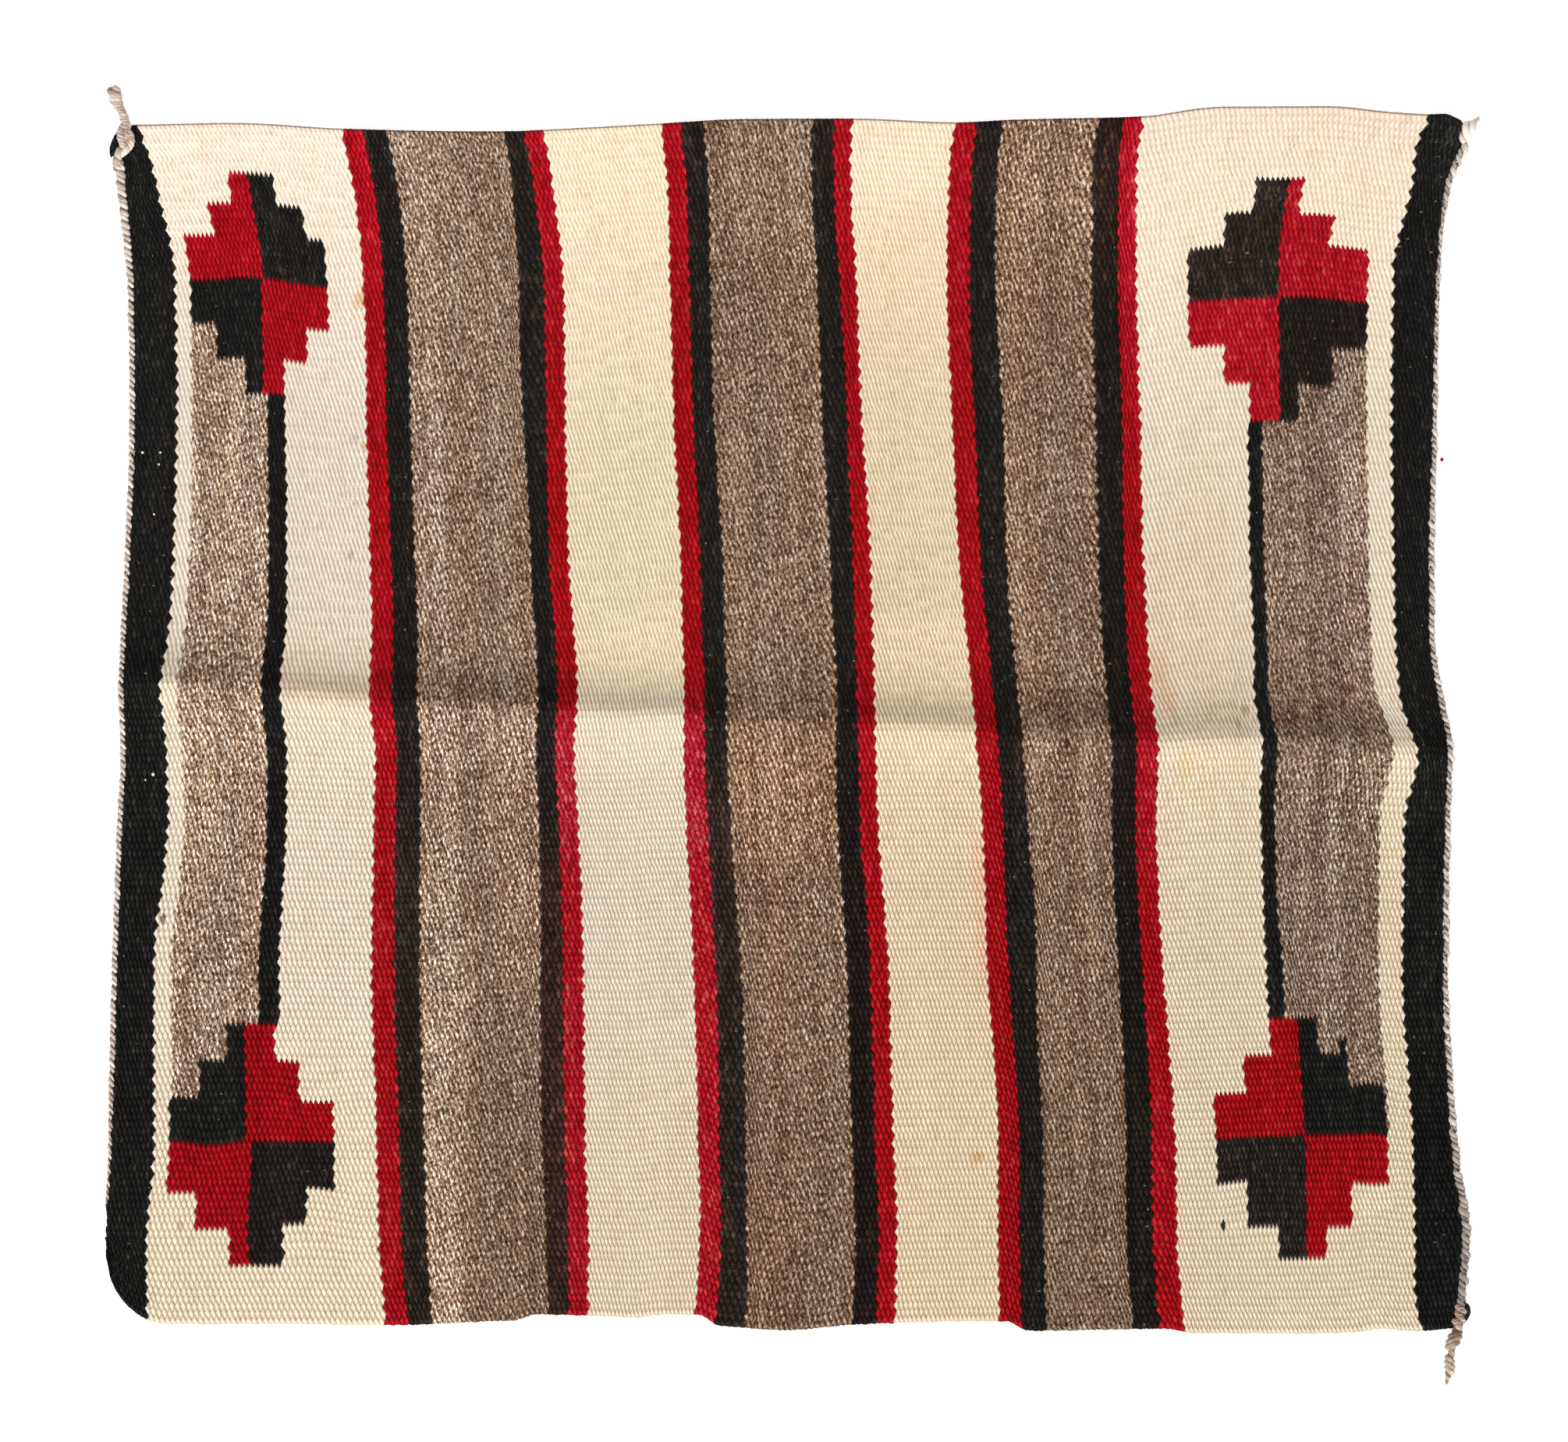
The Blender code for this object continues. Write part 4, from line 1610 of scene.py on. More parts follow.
    def add_selvedges(self, under: int) -> None:
        """Close the cloth along its top and bottom selvedges.

        Args:
            under: Number of the underside's first vertex.
        """
        column = np.arange(self.width - 1)
        last = [len(grid.points) - 1 for grid in (self.face, self.underside)]
        for strip, rows in enumerate(((0, 0), last)):
            corners = SELVEDGE_CORNERS[::-1 if strip else 1]
            starts = (rows[0] * self.width, under + rows[1] * self.width)
            faces = np.stack([starts[side] + column + right for side, right in corners], axis=1)
            share = corner_pairs([((column + right) / (self.width - 1), side) for side, right in corners])
            rib = strip * RIBS * RIB_PITCH
            picks = self.band.first + column
            weave = corner_pairs(
                [((picks + right) * PICK_PITCH, rib + self.rim_width * side) for side, right in corners]
            )
            cells = (np.full(column.shape, min(rows[0], last[0] - 1)), picks)
            self.add_strip(faces, cells, share, strip, weave)

    def add_ends(self, under: int) -> None:
        """Close the band along its first and its last pick.

        Args:
            under: Number of the underside's first vertex.
        """
        rib = np.arange(RIBS)
        starts = (0, under)
        steps = [len(grid.style.bead_rows) for grid in (self.face, self.underside)]
        for strip, column in ((2, 0), (3, self.width - 1)):
            pick = (self.band.first + column) * PICK_PITCH
            cell = np.full(rib.shape, min(self.band.first + column, self.band.end - 1))
            for number, corners in enumerate(END_FACES):
                corners = corners[::-1 if column else 1]
                rows = [(steps[side] * rib + row, side) for side, row in corners]
                faces = np.stack([starts[side] + row * self.width + column for row, side in rows], axis=1)
                places = [(rib + row / steps[side], side) for side, row in corners]
                share = corner_pairs([(place / RIBS, side) for place, side in places])
                weave = corner_pairs(
                    [(pick + self.rim_width * side, place * RIB_PITCH) for place, side in places]
                )
                self.add_strip(faces, (steps[0] * rib + number, cell), share, strip, weave)


PLAIN = (1.0, 1.0, 1.0)
LINE_STEPS = 60
NUDGE = 1e-6


@dataclass(frozen=True)
class Stop:
    """A place that a strand runs through: its middle and the strand's radius there."""

    x: float
    y: float
    z: float
    radius: float


@dataclass(frozen=True)
class Spin:
    """How two or more plies are twisted into a cord.

    The radius, the offset, the unevenness and the wander are shares of the cord's radius, and lengths are in
    millimetres. The groove is painted shade where a ply turns in towards the middle: it starts at a share of
    the radius from the middle and is full at a depth below it.
    """

    turn_length: float = 7.5
    plies: int = 2
    ply_radius: float = 0.58
    ply_offset: float = 0.52
    sides: int = 7
    steps_per_turn: int = 8
    fewest_steps: int = 6
    unevenness: float = 0.10
    unevenness_length: float = 5.0
    wander: float = 0.15
    wander_length: float = 6.0
    first_fatter: float = 0.0
    turn_wave: float = 0.5
    turn_wave_length: float = 9.0
    tone_wave: float = 0.22
    tone_wave_length: float = 3.0
    groove_from: float = 0.98
    groove_depth: float = 0.38


@dataclass(frozen=True)
class CordSize:
    """An edging cord at one rib: how thick it is, how far it stands up, and its tint."""

    rib: float
    radius: float
    rise: float
    tint: float


@dataclass(frozen=True)
class EdgingCord:
    """A cord twined along one end of the field; its side is -1 for the left end and 1 for the right one."""

    name: str
    pick: int
    side: int
    spin: Spin
    sizes: tuple[CordSize, ...]


LEFT_CORD = EdgingCord(
    "left_end_cord", 0, -1, Spin(unevenness=0.18),
    (
        CordSize(5.0, 2.4, 2.6, 0.95), CordSize(9, 2.3, 0.8, 0.95), CordSize(16, 2.1, 0, 1.02),
        CordSize(30, 1.7, 0, 1.0), CordSize(130, 1.6, 0, 1.0), CordSize(140, 1.2, 0, 1.0),
        CordSize(148, 0.9, 0, 1.0),
    ),
)
RIGHT_CORD = EdgingCord(
    "right_end_cord", PICKS, 1, Spin(7.4, unevenness=0.28, wander=0.34, first_fatter=0.16),
    (
        CordSize(3.2, 2.1, 0, 0.76), CordSize(9, 1.8, 0, 0.76), CordSize(15, 1.3, 0, 0.78),
        CordSize(30, 1.4, 0, 0.80), CordSize(60, 1.7, 0, 0.80), CordSize(128, 1.7, 0, 0.80),
        CordSize(145, 2.2, 0, 0.60), CordSize(161, 2.3, 0, 0.46),
    ),
)
CORD_GAP = 0.1
CORD_TONES = (0.70, 0.42)
CORD_SWELL = 1.12
CORD_POINTS = 400


@dataclass(frozen=True)
class Knot:
    """A small round knot: its middle, its half sizes, the way its cord runs in degrees, and its strands.

    Each strand winds round the cord as a ring that slants by a share of its width. The tone says how light
    it is.
    """

    x: float
    y: float
    z: float
    half_x: float
    half_y: float
    half_z: float
    turn: float
    strands: int
    slant: float
    tone: float


@dataclass(frozen=True)
class Winding:
    """How a knot is wound: its core, which is painted dark as the shade between the rings, and the rings of
    its strands.

    The core's reach and girth are shares of the knot's half sizes, and a strand's thickness is one too. The
    spacing, insets, lowest height and radius of the rings are shares of that thickness.
    """

    core_reach: float = 0.75
    core_points: int = 9
    core_girth: float = 0.62
    core_painted_shade: float = 0.25
    core_groove: float = 0.6
    sides: int = 8
    points: int = 26
    overlap: float = 0.05
    thickness: float = 1.15
    spacing: float = 1.45
    taper: float = 0.85
    inset_x: float = 0.55
    inset_z: float = 0.5
    lowest: float = 0.8
    radius: float = 0.78
    radius_wave: float = 0.12
    radius_wave_length: float = 1.2
    tone_wave: float = 0.3
    tone_wave_length: float = 0.8


@dataclass(frozen=True)
class Fray:
    """Loose fibres past a tip: how many, how far they reach, and how they stray, bend and thin out."""

    hairs: int
    reach: float
    start_stray: float = 0.35
    way_stray: float = 0.38
    flatness: float = 0.5
    bend: float = 0.25
    shortest: float = 0.5
    longest: float = 1.3
    points: int = 6
    sides: int = 3
    lowest: float = 0.15
    root_radius: float = 0.22
    tip_radius: float = 0.06
    darkest: float = 0.4
    lightest: float = 1.0


@dataclass(frozen=True)
class Loop:
    """A strand of a tied end, and how light its plies are by turns."""

    tones: tuple[float, float]
    stops: tuple[Stop, ...]


@dataclass(frozen=True)
class TiedEnd:
    """The free end of an edging cord: its strands, its fray, its knots and what its colour is multiplied by.

    The first strand is the end itself and the others cross it. A smooth black loop may lie beside it.
    """

    name: str
    turn_length: float
    tint: Colour
    fray: Fray
    loops: tuple[Loop, ...]
    knots: tuple[Knot, ...] = ()
    black_loop: tuple[Stop, ...] = ()


TIED_ENDS = (
    TiedEnd(
        "top_left_tie", 5.8, (0.94, 0.86, 0.80), Fray(10, 0.8),
        (
            Loop((0.66, 0.36), (
                Stop(-381.0, 319.2, 5.3, 2.6), Stop(-381.2, 322.6, 6.0, 2.6), Stop(-380.6, 326.6, 6.6, 2.5),
                Stop(-378.4, 330.9, 6.8, 2.4), Stop(-376.2, 335.4, 6.8, 2.4), Stop(-375.8, 340.6, 6.5, 2.4),
                Stop(-376.3, 345.0, 5.8, 2.5), Stop(-378.1, 350.2, 4.9, 2.5), Stop(-380.1, 354.4, 4.3, 2.9),
                Stop(-382.0, 358.8, 4.2, 3.6), Stop(-382.8, 362.6, 4.1, 3.8), Stop(-383.1, 364.4, 3.9, 3.4),
            )),
            Loop((0.74, 0.44), (
                Stop(-378.6, 344.2, 5.9, 1.4), Stop(-379.2, 339.0, 7.4, 2.0), Stop(-378.6, 334.6, 8.6, 2.2),
                Stop(-377.6, 331.4, 8.4, 1.8),
            )),
            Loop((0.86, 0.52), (
                Stop(-375.0, 341.0, 6.6, 1.5), Stop(-373.0, 336.8, 7.4, 1.9), Stop(-373.8, 332.4, 8.2, 2.1),
                Stop(-377.0, 328.8, 8.2, 2.2), Stop(-381.6, 326.4, 6.4, 2.1),
            )),
        ),
    ),
    TiedEnd(
        "bottom_right_tie", 5.0, (0.72, 0.63, 0.54), Fray(12, 1.2),
        (
            Loop((0.56, 0.16), (
                Stop(375.6, -321.5, 2.6, 2.7), Stop(375.8, -326.0, 2.8, 2.9), Stop(375.0, -331.6, 2.9, 2.8),
                Stop(373.0, -337.4, 3.3, 2.4), Stop(371.1, -346.8, 3.1, 1.9), Stop(370.1, -352.6, 2.9, 1.9),
                Stop(369.3, -359.6, 2.3, 1.9), Stop(368.3, -365.2, 1.2, 0.8),
            )),
            Loop((0.50, 0.24), (
                Stop(374.0, -321.0, 3.6, 1.2), Stop(376.4, -322.8, 5.2, 1.5), Stop(379.0, -325.4, 3.8, 1.2),
            )),
            Loop((0.66, 0.30), (
                Stop(373.2, -325.0, 3.8, 1.2), Stop(375.8, -327.2, 5.4, 1.6), Stop(378.2, -330.4, 3.6, 1.2),
            )),
            Loop((0.74, 0.40), (
                Stop(371.8, -329.4, 3.8, 1.5), Stop(374.8, -332.0, 5.4, 2.0), Stop(375.4, -336.0, 4.0, 1.6),
            )),
        ),
        (
            Knot(372.2, -340.4, 3.8, 3.9, 5.4, 3.4, -14, 3, 0.8, 0.26),
            Knot(369.9, -354.6, 3.2, 2.9, 5.2, 2.8, -4, 3, -0.8, 0.62),
        ),
        (
            Stop(377.4, -320.4, 2.6, 1.2), Stop(379.7, -321.9, 2.9, 1.5), Stop(380.3, -325.0, 2.9, 1.5),
            Stop(379.2, -328.4, 2.6, 1.2), Stop(377.9, -330.8, 2.2, 0.9),
        ),
    ),
    TiedEnd(
        "top_right_tuft", 16.0, (1.1, 1.06, 1.02), Fray(22, 2.2),
        (
            Loop((0.95, 0.84), (
                Stop(378.4, 334.6, 2.4, 2.8), Stop(379.0, 338.2, 3.2, 4.0), Stop(380.6, 341.8, 3.2, 4.3),
                Stop(383.0, 344.8, 2.3, 2.9), Stop(385.6, 347.0, 1.3, 1.0),
            )),
        ),
    ),
)
TIE_SPIN = Spin(plies=3, ply_radius=0.54, unevenness=0.12)
TAIL_POINTS = 6
BLACK_LOOP_STEPS = 14
BLACK_LOOP_TONE = 0.5
SMOOTH_SIDES = 8

RED_SPECK = Stop(365.6, 155.5, 2.0, 1.1)
PALE_SPECKS = (
    Stop(-367.0, 159.5, 4.3, 0.75), Stop(-357.0, 159.5, 4.3, 0.65), Stop(-357.8, 152.8, 4.3, 0.6),
    Stop(-360.5, 124.7, 4.3, 0.6), Stop(-361.0, -21.8, 5.0, 1.0), Stop(-365.4, -25.0, 5.0, 0.5),
)
SPECK_REACH = 0.8
SPECK_POINTS = 5
SPECK_TONE = 0.7
# How far a tube's pointed tip reaches, and the painted groove shade on it
TUBE_TIP = 0.7
TUBE_TIP_GROOVE = 0.5

# Seeds of the strands' unevenness; the side or the number of a piece is added
CORD_SEED = 40
TIED_END_SEED = 50
LINT_SEED = 60


class CordWool(IntEnum):
    """The wools of the strands; each number is a material slot."""

    GREY = 0
    BLACK = 1
    RED = 2


def running_length(line: Array) -> Array:
    """Give the length of a line up to each of its points."""
    return np.concatenate([[0.0], np.cumsum(np.linalg.norm(np.diff(line, axis=0), axis=1))])


def stops_line(stops: tuple[Stop, ...], steps: int = LINE_STEPS) -> Array:
    """Run a smooth line through stops.

    Args:
        stops: The stops in order.
        steps: How many steps the line has.

    Returns:
        Rows of X, Y, Z and radius.
    """
    rows = np.array([(stop.x, stop.y, stop.z, stop.radius) for stop in stops])
    reach = running_length(rows[:, :3])
    at = np.linspace(0.0, reach[-1], steps + 1)
    return np.stack([smooth_between(reach, values, at) for values in rows.T], axis=1)


def frames(line: Array) -> tuple[Array, Array, Array]:
    """Work out how a line runs at each of its points.

    Args:
        line: Its points.

    Returns:
        Its direction, its level side and its upper side at each point.
    """
    along = unit(np.gradient(line, axis=0))
    side = unit(np.cross(along, (0.0, 0.0, 1.0)) + (NUDGE, 0.0, 0.0))
    return along, side, np.cross(side, along)


def turned(side: Array, up: Array, sides: int) -> Array:
    """Give the directions of a ring's corners around each point of a line.

    Args:
        side: The line's level side at each point.
        up: Its upper side at each point.
        sides: How many corners a ring has.

    Returns:
        The directions, with one row of them for each point.
    """
    turn = 2 * math.pi * np.arange(sides) / sides
    return side[:, None] * np.cos(turn)[None, :, None] + up[:, None] * np.sin(turn)[None, :, None]


class StrandMesh:
    """Gathers tubes of spun wool into one mesh."""

    def __init__(self, seed: int) -> None:
        """Start with no tubes.

        Args:
            seed: Seed of their unevenness.
        """
        self.rng = np.random.default_rng(seed)
        self.count = 0
        self.vertices: list[Array] = []
        self.shade: list[Array] = []
        self.groove: list[Array] = []
        self.tint: list[Array] = []
        self.weave: list[Array] = []
        self.parts = MeshParts(
            maps={WEAVE_MAP: self.weave},
            values=[
                MeshValue(SHADE, "POINT", self.shade),
                MeshValue(PAINTED_GROOVE_SHADE, "POINT", self.groove),
                MeshValue(STAIN_AND_PAINTED_LIGHT, "POINT", self.tint),
            ],
        )

    def add_tube(
        self,
        line: Array,
        radii: Array,
        sides: int,
        shade: Array,
        groove: Array | float = 0.0,
        slot: CordWool = CordWool.GREY,
        tint: Colour | Array = PLAIN,
    ) -> None:
        """Add one tube with pointed ends.

        Args:
            line: Points down its middle, in millimetres.
            radii: Its radius at each point.
            sides: How many sides it has.
            shade: How light it is at each point, from 0 to 1.
            groove: How deep its vertices lie in a groove, which darkens them with painted shade, as one
                number or in rows of one point's ring.
            slot: Its wool.
            tint: What its colour is multiplied by, as one colour or a row for each point.
        """
        along, side, up = frames(line)
        body = (line[:, None] + turned(side, up, sides) * radii[:, None, None]).reshape(-1, 3)
        tips = [line[0] - along[0] * radii[0] * TUBE_TIP, line[-1] + along[-1] * radii[-1] * TUBE_TIP]
        steps = len(line)
        i = np.arange(steps - 1)[:, None] * sides
        j = np.arange(sides)[None, :]
        k = (j + 1) % sides
        walls = np.stack([i + j, i + k, i + sides + k, i + sides + j], axis=2).reshape(-1, 4)
        faces = walls.tolist()
        last = (steps - 1) * sides
        faces += [[steps * sides, (s + 1) % sides, s] for s in range(sides)]
        faces += [[steps * sides + 1, last + s, last + (s + 1) % sides] for s in range(sides)]
        self.parts.faces += [[self.count + number for number in face] for face in faces]
        self.parts.slots.append(np.full(len(faces), slot))
        length = running_length(line)
        girth = 2 * math.pi * float(radii.mean()) / sides
        across = np.stack([j, j + 1, j + 1, j], axis=2)[..., None] * girth
        down = np.stack([length[:-1], length[:-1], length[1:], length[1:]], axis=1)[:, None, :, None]
        self.weave.append(np.concatenate(np.broadcast_arrays(across, down), axis=3).reshape(-1, 2))
        self.weave.append(np.repeat([(0.0, 0.0), (0.0, length[-1])], 3 * sides, axis=0))
        self.vertices += [body, np.array(tips)]
        self.shade += [np.repeat(shade, sides), shade[[0, -1]]]
        tints = np.column_stack([np.broadcast_to(tint, (steps, 3)), np.ones(steps)])
        self.tint += [np.repeat(tints, sides, axis=0), tints[[0, -1]]]
        self.groove += [np.broadcast_to(groove, (steps, sides)).ravel(), np.full(len(tips), TUBE_TIP_GROOVE)]
        self.count += len(body) + len(tips)

    def add_plies(
        self, line: Array, radii: Array, spin: Spin, tones: tuple[float, float], tint: Colour | Array = PLAIN
    ) -> None:
        """Twist plies around a line.

        Args:
            line: Points down the middle of the cord.
            radii: The cord's radius at each point.
            spin: How the plies are twisted.
            tones: How light the plies are by turns.
            tint: What the cord's colour is multiplied by, as one colour or a row for each point.
        """
        length = running_length(line)
        steps = max(spin.fewest_steps, math.ceil(length[-1] / spin.turn_length * spin.steps_per_turn))
        at = np.linspace(0.0, length[-1], steps + 1)
        centre = np.stack([np.interp(at, length, values) for values in line.T], axis=1)
        radius = np.interp(at, length, radii)
        tints = np.broadcast_to(tint, (len(line), 3))
        tints = np.stack([np.interp(at, length, values) for values in tints.T], axis=1)
        _, side, up = frames(centre)
        for ply in range(spin.plies):
            swell = 1 + spin.unevenness * self.waves(at, spin.unevenness_length)
            swell = swell + spin.first_fatter * (1 if ply == 0 else -1)
            turn = 2 * math.pi * (at / spin.turn_length + ply / spin.plies)
            turn = turn + spin.turn_wave * self.waves(at, spin.turn_wave_length)
            out = side * np.cos(turn)[:, None] + up * np.sin(turn)[:, None]
            stray = radius * spin.wander * self.waves(at, spin.wander_length)
            middle = centre + out * (radius * spin.ply_offset)[:, None] + side * stray[:, None]
            ply_radius = radius * spin.ply_radius * swell
            middle[:, 2] = np.maximum(middle[:, 2], ply_radius)
            _, ring_side, ring_up = frames(middle)
            ring = middle[:, None] + turned(ring_side, ring_up, spin.sides) * ply_radius[:, None, None]
            # Painted shade where the ply turns in towards the cord's middle
            away = np.linalg.norm(ring - centre[:, None], axis=2)
            groove = ((spin.groove_from - away / radius[:, None]) / spin.groove_depth).clip(0.0, 1.0)
            tone = tones[ply % len(tones)] + spin.tone_wave * self.waves(at, spin.tone_wave_length)
            self.add_tube(middle, ply_radius, spin.sides, tone.clip(0.0, 1.0), groove, tint=tints)

    def waves(self, at: Array, length: float) -> Array:
        """Give soft random waves of about a length along a line, from -1 to 1."""
        knots = self.rng.uniform(-1.0, 1.0, int(at[-1] / length) + 3)
        return np.interp(at / length, np.arange(len(knots)), knots)

    def add_knot(self, knot: Knot, tint: Colour, winding: Winding = Winding()) -> None:
        """Wind slanting strands round a knot's core.

        Args:
            knot: The knot.
            tint: What its colour is multiplied by.
            winding: How it is wound.
        """
        turn = math.radians(knot.turn)
        across = np.array([math.cos(turn), math.sin(turn), 0.0])
        along = np.array([-math.sin(turn), math.cos(turn), 0.0])
        middle = np.array([knot.x, knot.y, knot.z])
        share = np.linspace(-winding.core_reach, winding.core_reach, winding.core_points)
        core = middle + share[:, None] * knot.half_y * along
        girth = winding.core_girth * knot.half_x * np.sqrt(1 - share ** 2)
        # The dark core stands for the shade in the gaps between the rings
        tone = np.full(winding.core_points, winding.core_painted_shade)
        self.add_tube(core, girth, winding.sides, tone, winding.core_groove, tint=tint)
        theta = np.linspace(-winding.overlap, 1 + winding.overlap, winding.points) * 2 * math.pi
        strand = winding.thickness * knot.half_y / knot.strands
        for number in range(knot.strands):
            place = (number - (knot.strands - 1) / 2) * winding.spacing * strand
            reach = math.sqrt(1 - (winding.taper * place / knot.half_y) ** 2)
            width = (knot.half_x - winding.inset_x * strand) * reach * np.cos(theta)
            height = (knot.half_z - winding.inset_z * strand) * reach * np.sin(theta)
            line = middle + width[:, None] * across + (place + knot.slant * width)[:, None] * along
            line[:, 2] = np.maximum(line[:, 2] + height, winding.lowest * strand)
            swell = 1 + winding.radius_wave * self.waves(theta, winding.radius_wave_length)
            tone = knot.tone + winding.tone_wave * self.waves(theta, winding.tone_wave_length)
            radii = strand * winding.radius * swell
            self.add_tube(line, radii, winding.sides, tone.clip(0.0, 1.0), tint=tint)

    def add_fray(self, tail: Array, fray: Fray) -> None:
        """Let loose fibres stick out past a strand's tip.

        Args:
            tail: The strand's last points, as rows of X, Y, Z and radius.
            fray: Its fibres.
        """
        tip, radius = tail[-1, :3], tail[-1, 3]
        way = unit(tip - tail[0, :3])
        share = np.linspace(0.0, 1.0, fray.points)[:, None]
        radii = np.linspace(fray.root_radius, fray.tip_radius, fray.points)
        for _ in range(fray.hairs):
            start = tip + self.rng.normal(0.0, fray.start_stray * radius, 3)
            swing = way + self.rng.normal(0.0, fray.way_stray, 3) * (1.0, 1.0, fray.flatness)
            bend = self.rng.normal(0.0, fray.bend, 3) * fray.reach
            length = fray.reach * self.rng.uniform(fray.shortest, fray.longest)
            line = start + unit(swing) * length * share + bend * share ** 2
            line[:, 2] = np.maximum(line[:, 2], fray.lowest)
            tone = np.full(fray.points, self.rng.uniform(fray.darkest, fray.lightest))
            self.add_tube(line, radii, fray.sides, tone)

    def add_speck(self, speck: Stop, slot: CordWool = CordWool.GREY) -> None:
        """Lay down a small round speck of wool.

        Args:
            speck: Its middle and its radius.
            slot: Its wool.
        """
        share = np.linspace(-SPECK_REACH, SPECK_REACH, SPECK_POINTS)
        line = np.array((speck.x, speck.y, speck.z)) + share[:, None] * (0.0, speck.radius, 0.0)
        radii = speck.radius * np.sqrt(1 - share ** 2)
        self.add_tube(line, radii, SMOOTH_SIDES, np.full(SPECK_POINTS, SPECK_TONE), slot=slot)

    def to_object(self, name: str, materials: list[bpy.types.Material]) -> bpy.types.Object:
        """Turn the tubes into a mesh object, with nothing of it below the floor.

        Args:
            name: Its name.
            materials: Its wools in the order of the slots.

        Returns:
            The mesh object.
        """
        points = np.concatenate(self.vertices) + (CENTRE_X, CENTRE_Y, 0.0)
        points[:, 2] = np.maximum(points[:, 2], 0.0)
        return self.parts.to_object(name, points, materials)


@dataclass(frozen=True)
class Studio:
    """The plain floor, the soft lights and the camera straight above.

    The view is in millimetres, the floor's size in metres, and the key light's angles in degrees.
    """

    frame_width: float = 884.4
    view_x: float = -5.4
    view_y: float = 8.14
    lens: float = 300.0
    sensor: float = 36.0
    clip_distances: float = 3.0
    floor_size: float = 12.0
    floor_grey: float = 0.5
    floor_glow: float = 0.78
    floor_roughness: float = 0.9
    floor_specular: float = 0.1
    sky: float = 0.52
    sky_colour: Colour = (1.0, 0.99, 0.98)
    key: float = 0.62
    key_colour: Colour = (1.0, 0.99, 0.97)
    key_height: float = 40.0
    key_side: float = -9.0
    key_spread: float = 28.0

    def build(self) -> None:
        """Set up the whole studio."""
        self.build_floor()
        self.build_light()
        self.build_camera()

    def build_floor(self) -> None:
        """Lay the floor, which isn't part of the rug and glows a little so that soft shadows wash out."""
        bpy.ops.mesh.primitive_plane_add(size=self.floor_size)
        floor = bpy.context.object
        floor.name = "floor"
        material = bpy.data.materials.new("pale_floor")
        material.use_nodes = True
        shader = material.node_tree.nodes["Principled BSDF"]
        shader.inputs["Base Color"].default_value = (self.floor_grey, self.floor_grey, self.floor_grey, 1.0)
        shader.inputs["Emission Color"].default_value = (1.0, 1.0, 1.0, 1.0)
        shader.inputs["Emission Strength"].default_value = self.floor_glow
        shader.inputs["Roughness"].default_value = self.floor_roughness
        shader.inputs["Specular IOR Level"].default_value = self.floor_specular
        floor.data.materials.append(material)

    def build_light(self) -> None:
        """Light the rug softly, most from the side of the bottom selvedge."""
        scene = bpy.context.scene
        world = bpy.data.worlds.new("studio")
        world.use_nodes = True
        background = world.node_tree.nodes["Background"]
        background.inputs["Color"].default_value = (*self.sky_colour, 1.0)
        background.inputs["Strength"].default_value = self.sky
        scene.world = world
        scene.view_settings.view_transform = "Standard"
        sun = bpy.data.lights.new("key", "SUN")
        sun.energy = self.key * math.pi / math.sin(math.radians(self.key_height))
        sun.angle = math.radians(self.key_spread)
        sun.color = self.key_colour
        lamp = bpy.data.objects.new("key", sun)
        lamp.rotation_euler = (math.radians(90 - self.key_height), 0.0, math.radians(self.key_side))
        scene.collection.objects.link(lamp)

    def build_camera(self) -> None:
        """Hang the camera far above the rug with a long lens, as wide as the picture's frame."""
        data = bpy.data.cameras.new("camera")
        data.lens = self.lens
        data.sensor_width = self.sensor
        distance = self.frame_width * MM * self.lens / self.sensor
        data.clip_end = self.clip_distances * distance
        camera = bpy.data.objects.new("camera", data)
        camera.location = ((self.view_x + CENTRE_X) * MM, (self.view_y + CENTRE_Y) * MM, distance)
        bpy.context.scene.collection.objects.link(camera)
        bpy.context.scene.camera = camera


def report(thing: bpy.types.Object) -> None:
    """Say how many triangles a finished piece has."""
    log.info("%s: %d triangles", thing.name, len(thing.data.loops) - 2 * len(thing.data.polygons))


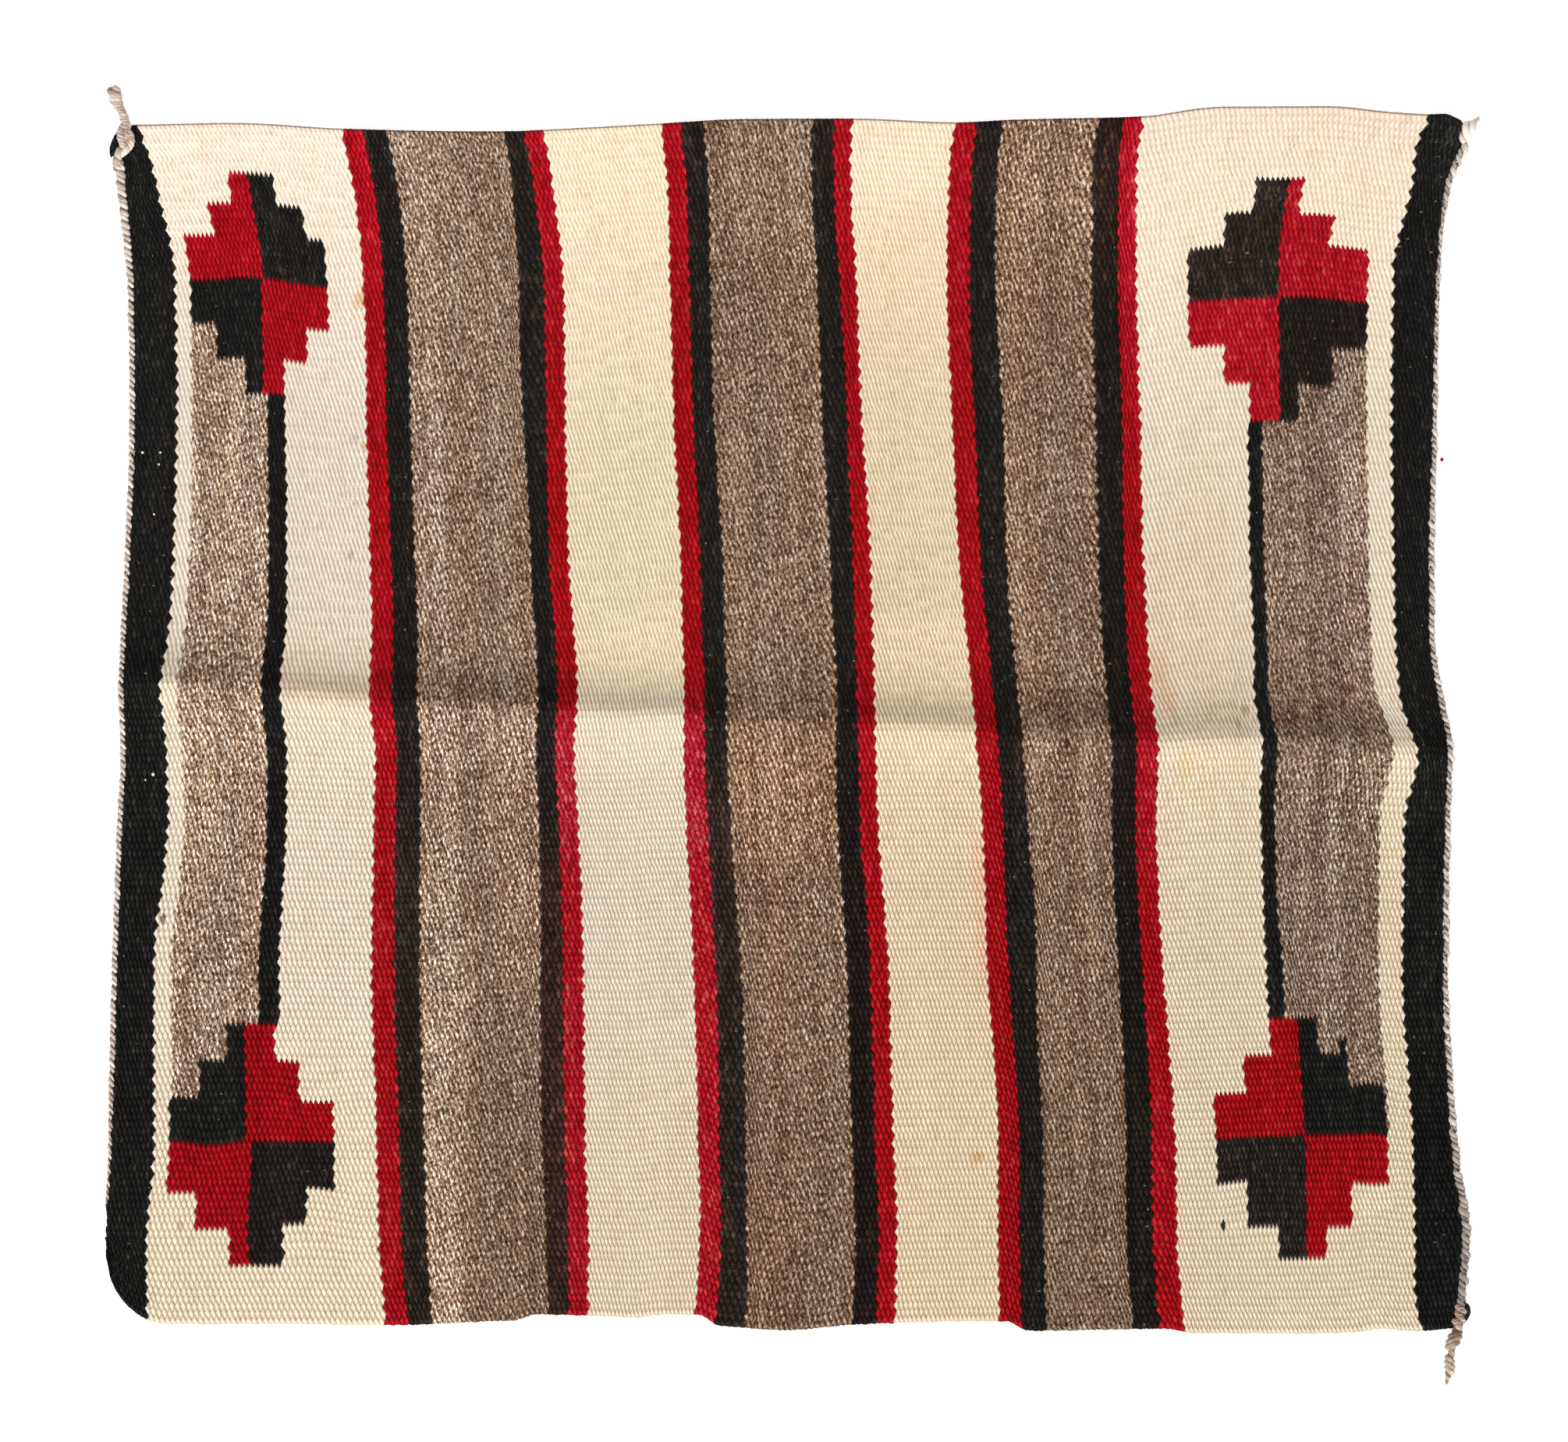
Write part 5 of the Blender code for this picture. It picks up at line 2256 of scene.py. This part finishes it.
class SaddleRug:
    """The whole rug: its field, its edging cords and its tied ends."""

    def __init__(self) -> None:
        """Make the wools and the lay that all its pieces share."""
        self.lay = ClothLay()
        effects = SharedEffects()
        self.wools = [wool_material(FINISHES[yarn], effects) for yarn in Yarn]
        cord_wool = wool_material(CORD_FINISH, effects)
        self.cord_wools = [cord_wool, self.wools[Yarn.BLACK], self.wools[Yarn.RED]]

    def build_field(self) -> None:
        """Weave the field in bands, hang each on the root and hide the imported field."""
        weave = Weave(self.lay, Chart())
        face, underside = weave.face(FACE), weave.face(UNDERSIDE)
        for band in BANDS:
            thing = FieldBand(band, face, underside).build(self.wools)
            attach(thing, "root")
            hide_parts("woven_field")
            report(thing)

    def cord_line(self, cord: EdgingCord) -> tuple[Array, Array, Array]:
        """Work out the line of an edging cord beside one end of the field.

        Args:
            cord: The cord.

        Returns:
            Points down the cord's middle, and its radius and its tint at each.
        """
        at = np.linspace(cord.sizes[0].rib, cord.sizes[-1].rib, CORD_POINTS)
        ribs = [size.rib for size in cord.sizes]
        radius = smooth_between(ribs, [size.radius for size in cord.sizes], at)
        rise = smooth_between(ribs, [size.rise for size in cord.sizes], at)
        tint = smooth_between(ribs, [size.tint for size in cord.sizes], at)
        x, y = self.lay.places(np.array([cord.pick]), at)
        slope = np.gradient(x[:, 0], at) / RIB_PITCH
        x = x[:, 0] + cord.side * (CORD_GAP + radius) * np.hypot(slope, 1.0)
        z = self.lay.crease.lift(np.full(at.shape, cord.pick), at) + radius + rise
        return np.stack([x, y[:, 0], z], axis=1), radius * CORD_SWELL, tint[:, None] * np.ones(3)

    def build_cord(self, cord: EdgingCord) -> None:
        """Twist one edging cord.

        Args:
            cord: The cord.
        """
        line, radius, tint = self.cord_line(cord)
        strands = StrandMesh(CORD_SEED + cord.side)
        strands.add_plies(line, radius, cord.spin, CORD_TONES, tint)
        if cord is RIGHT_CORD:
            strands.add_speck(RED_SPECK, CordWool.RED)
        self.keep(strands, cord.name)

    def build_tied_end(self, end: TiedEnd, seed: int) -> None:
        """Make one tied end with its strands, its knots and its frayed tip.

        Args:
            end: The tied end.
            seed: Seed of its unevenness.
        """
        strands = StrandMesh(seed)
        lines = [stops_line(loop.stops) for loop in end.loops]
        spin = replace(TIE_SPIN, turn_length=end.turn_length)
        for loop, line in zip(end.loops, lines):
            strands.add_plies(line[:, :3], line[:, 3], spin, loop.tones, end.tint)
        strands.add_fray(lines[0][-TAIL_POINTS:], end.fray)
        for knot in end.knots:
            strands.add_knot(knot, end.tint)
        if end.black_loop:
            line = stops_line(end.black_loop, BLACK_LOOP_STEPS)
            tone = np.full(len(line), BLACK_LOOP_TONE)
            strands.add_tube(line[:, :3], line[:, 3], SMOOTH_SIDES, tone, slot=CordWool.BLACK)
        self.keep(strands, end.name)

    def keep(self, strands: StrandMesh, node: str) -> None:
        """Put strands in the place of a solid.

        Args:
            strands: The strands.
            node: The solid's name.
        """
        thing = strands.to_object(node + "_yarn", self.cord_wools)
        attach(thing, "root")
        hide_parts(node)
        report(thing)

    def build_lint(self) -> None:
        """Scatter the few pale specks that lie on the left border."""
        strands = StrandMesh(LINT_SEED)
        for speck in PALE_SPECKS:
            strands.add_speck(speck)
        thing = strands.to_object("pale_lint", [self.wools[Yarn.WHITE]])
        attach(thing, "root")
        report(thing)

    def build(self) -> None:
        """Make every piece of the rug."""
        self.build_field()
        self.build_cord(LEFT_CORD)
        self.build_cord(RIGHT_CORD)
        for number, end in enumerate(TIED_ENDS):
            self.build_tied_end(end, TIED_END_SEED + number)
        self.build_lint()


def main() -> None:
    """Build the studio and the rug."""
    logging.basicConfig(level=logging.INFO, format="%(name)s: %(message)s")
    Studio().build()
    SaddleRug().build()


if __name__ == "__main__":
    main()
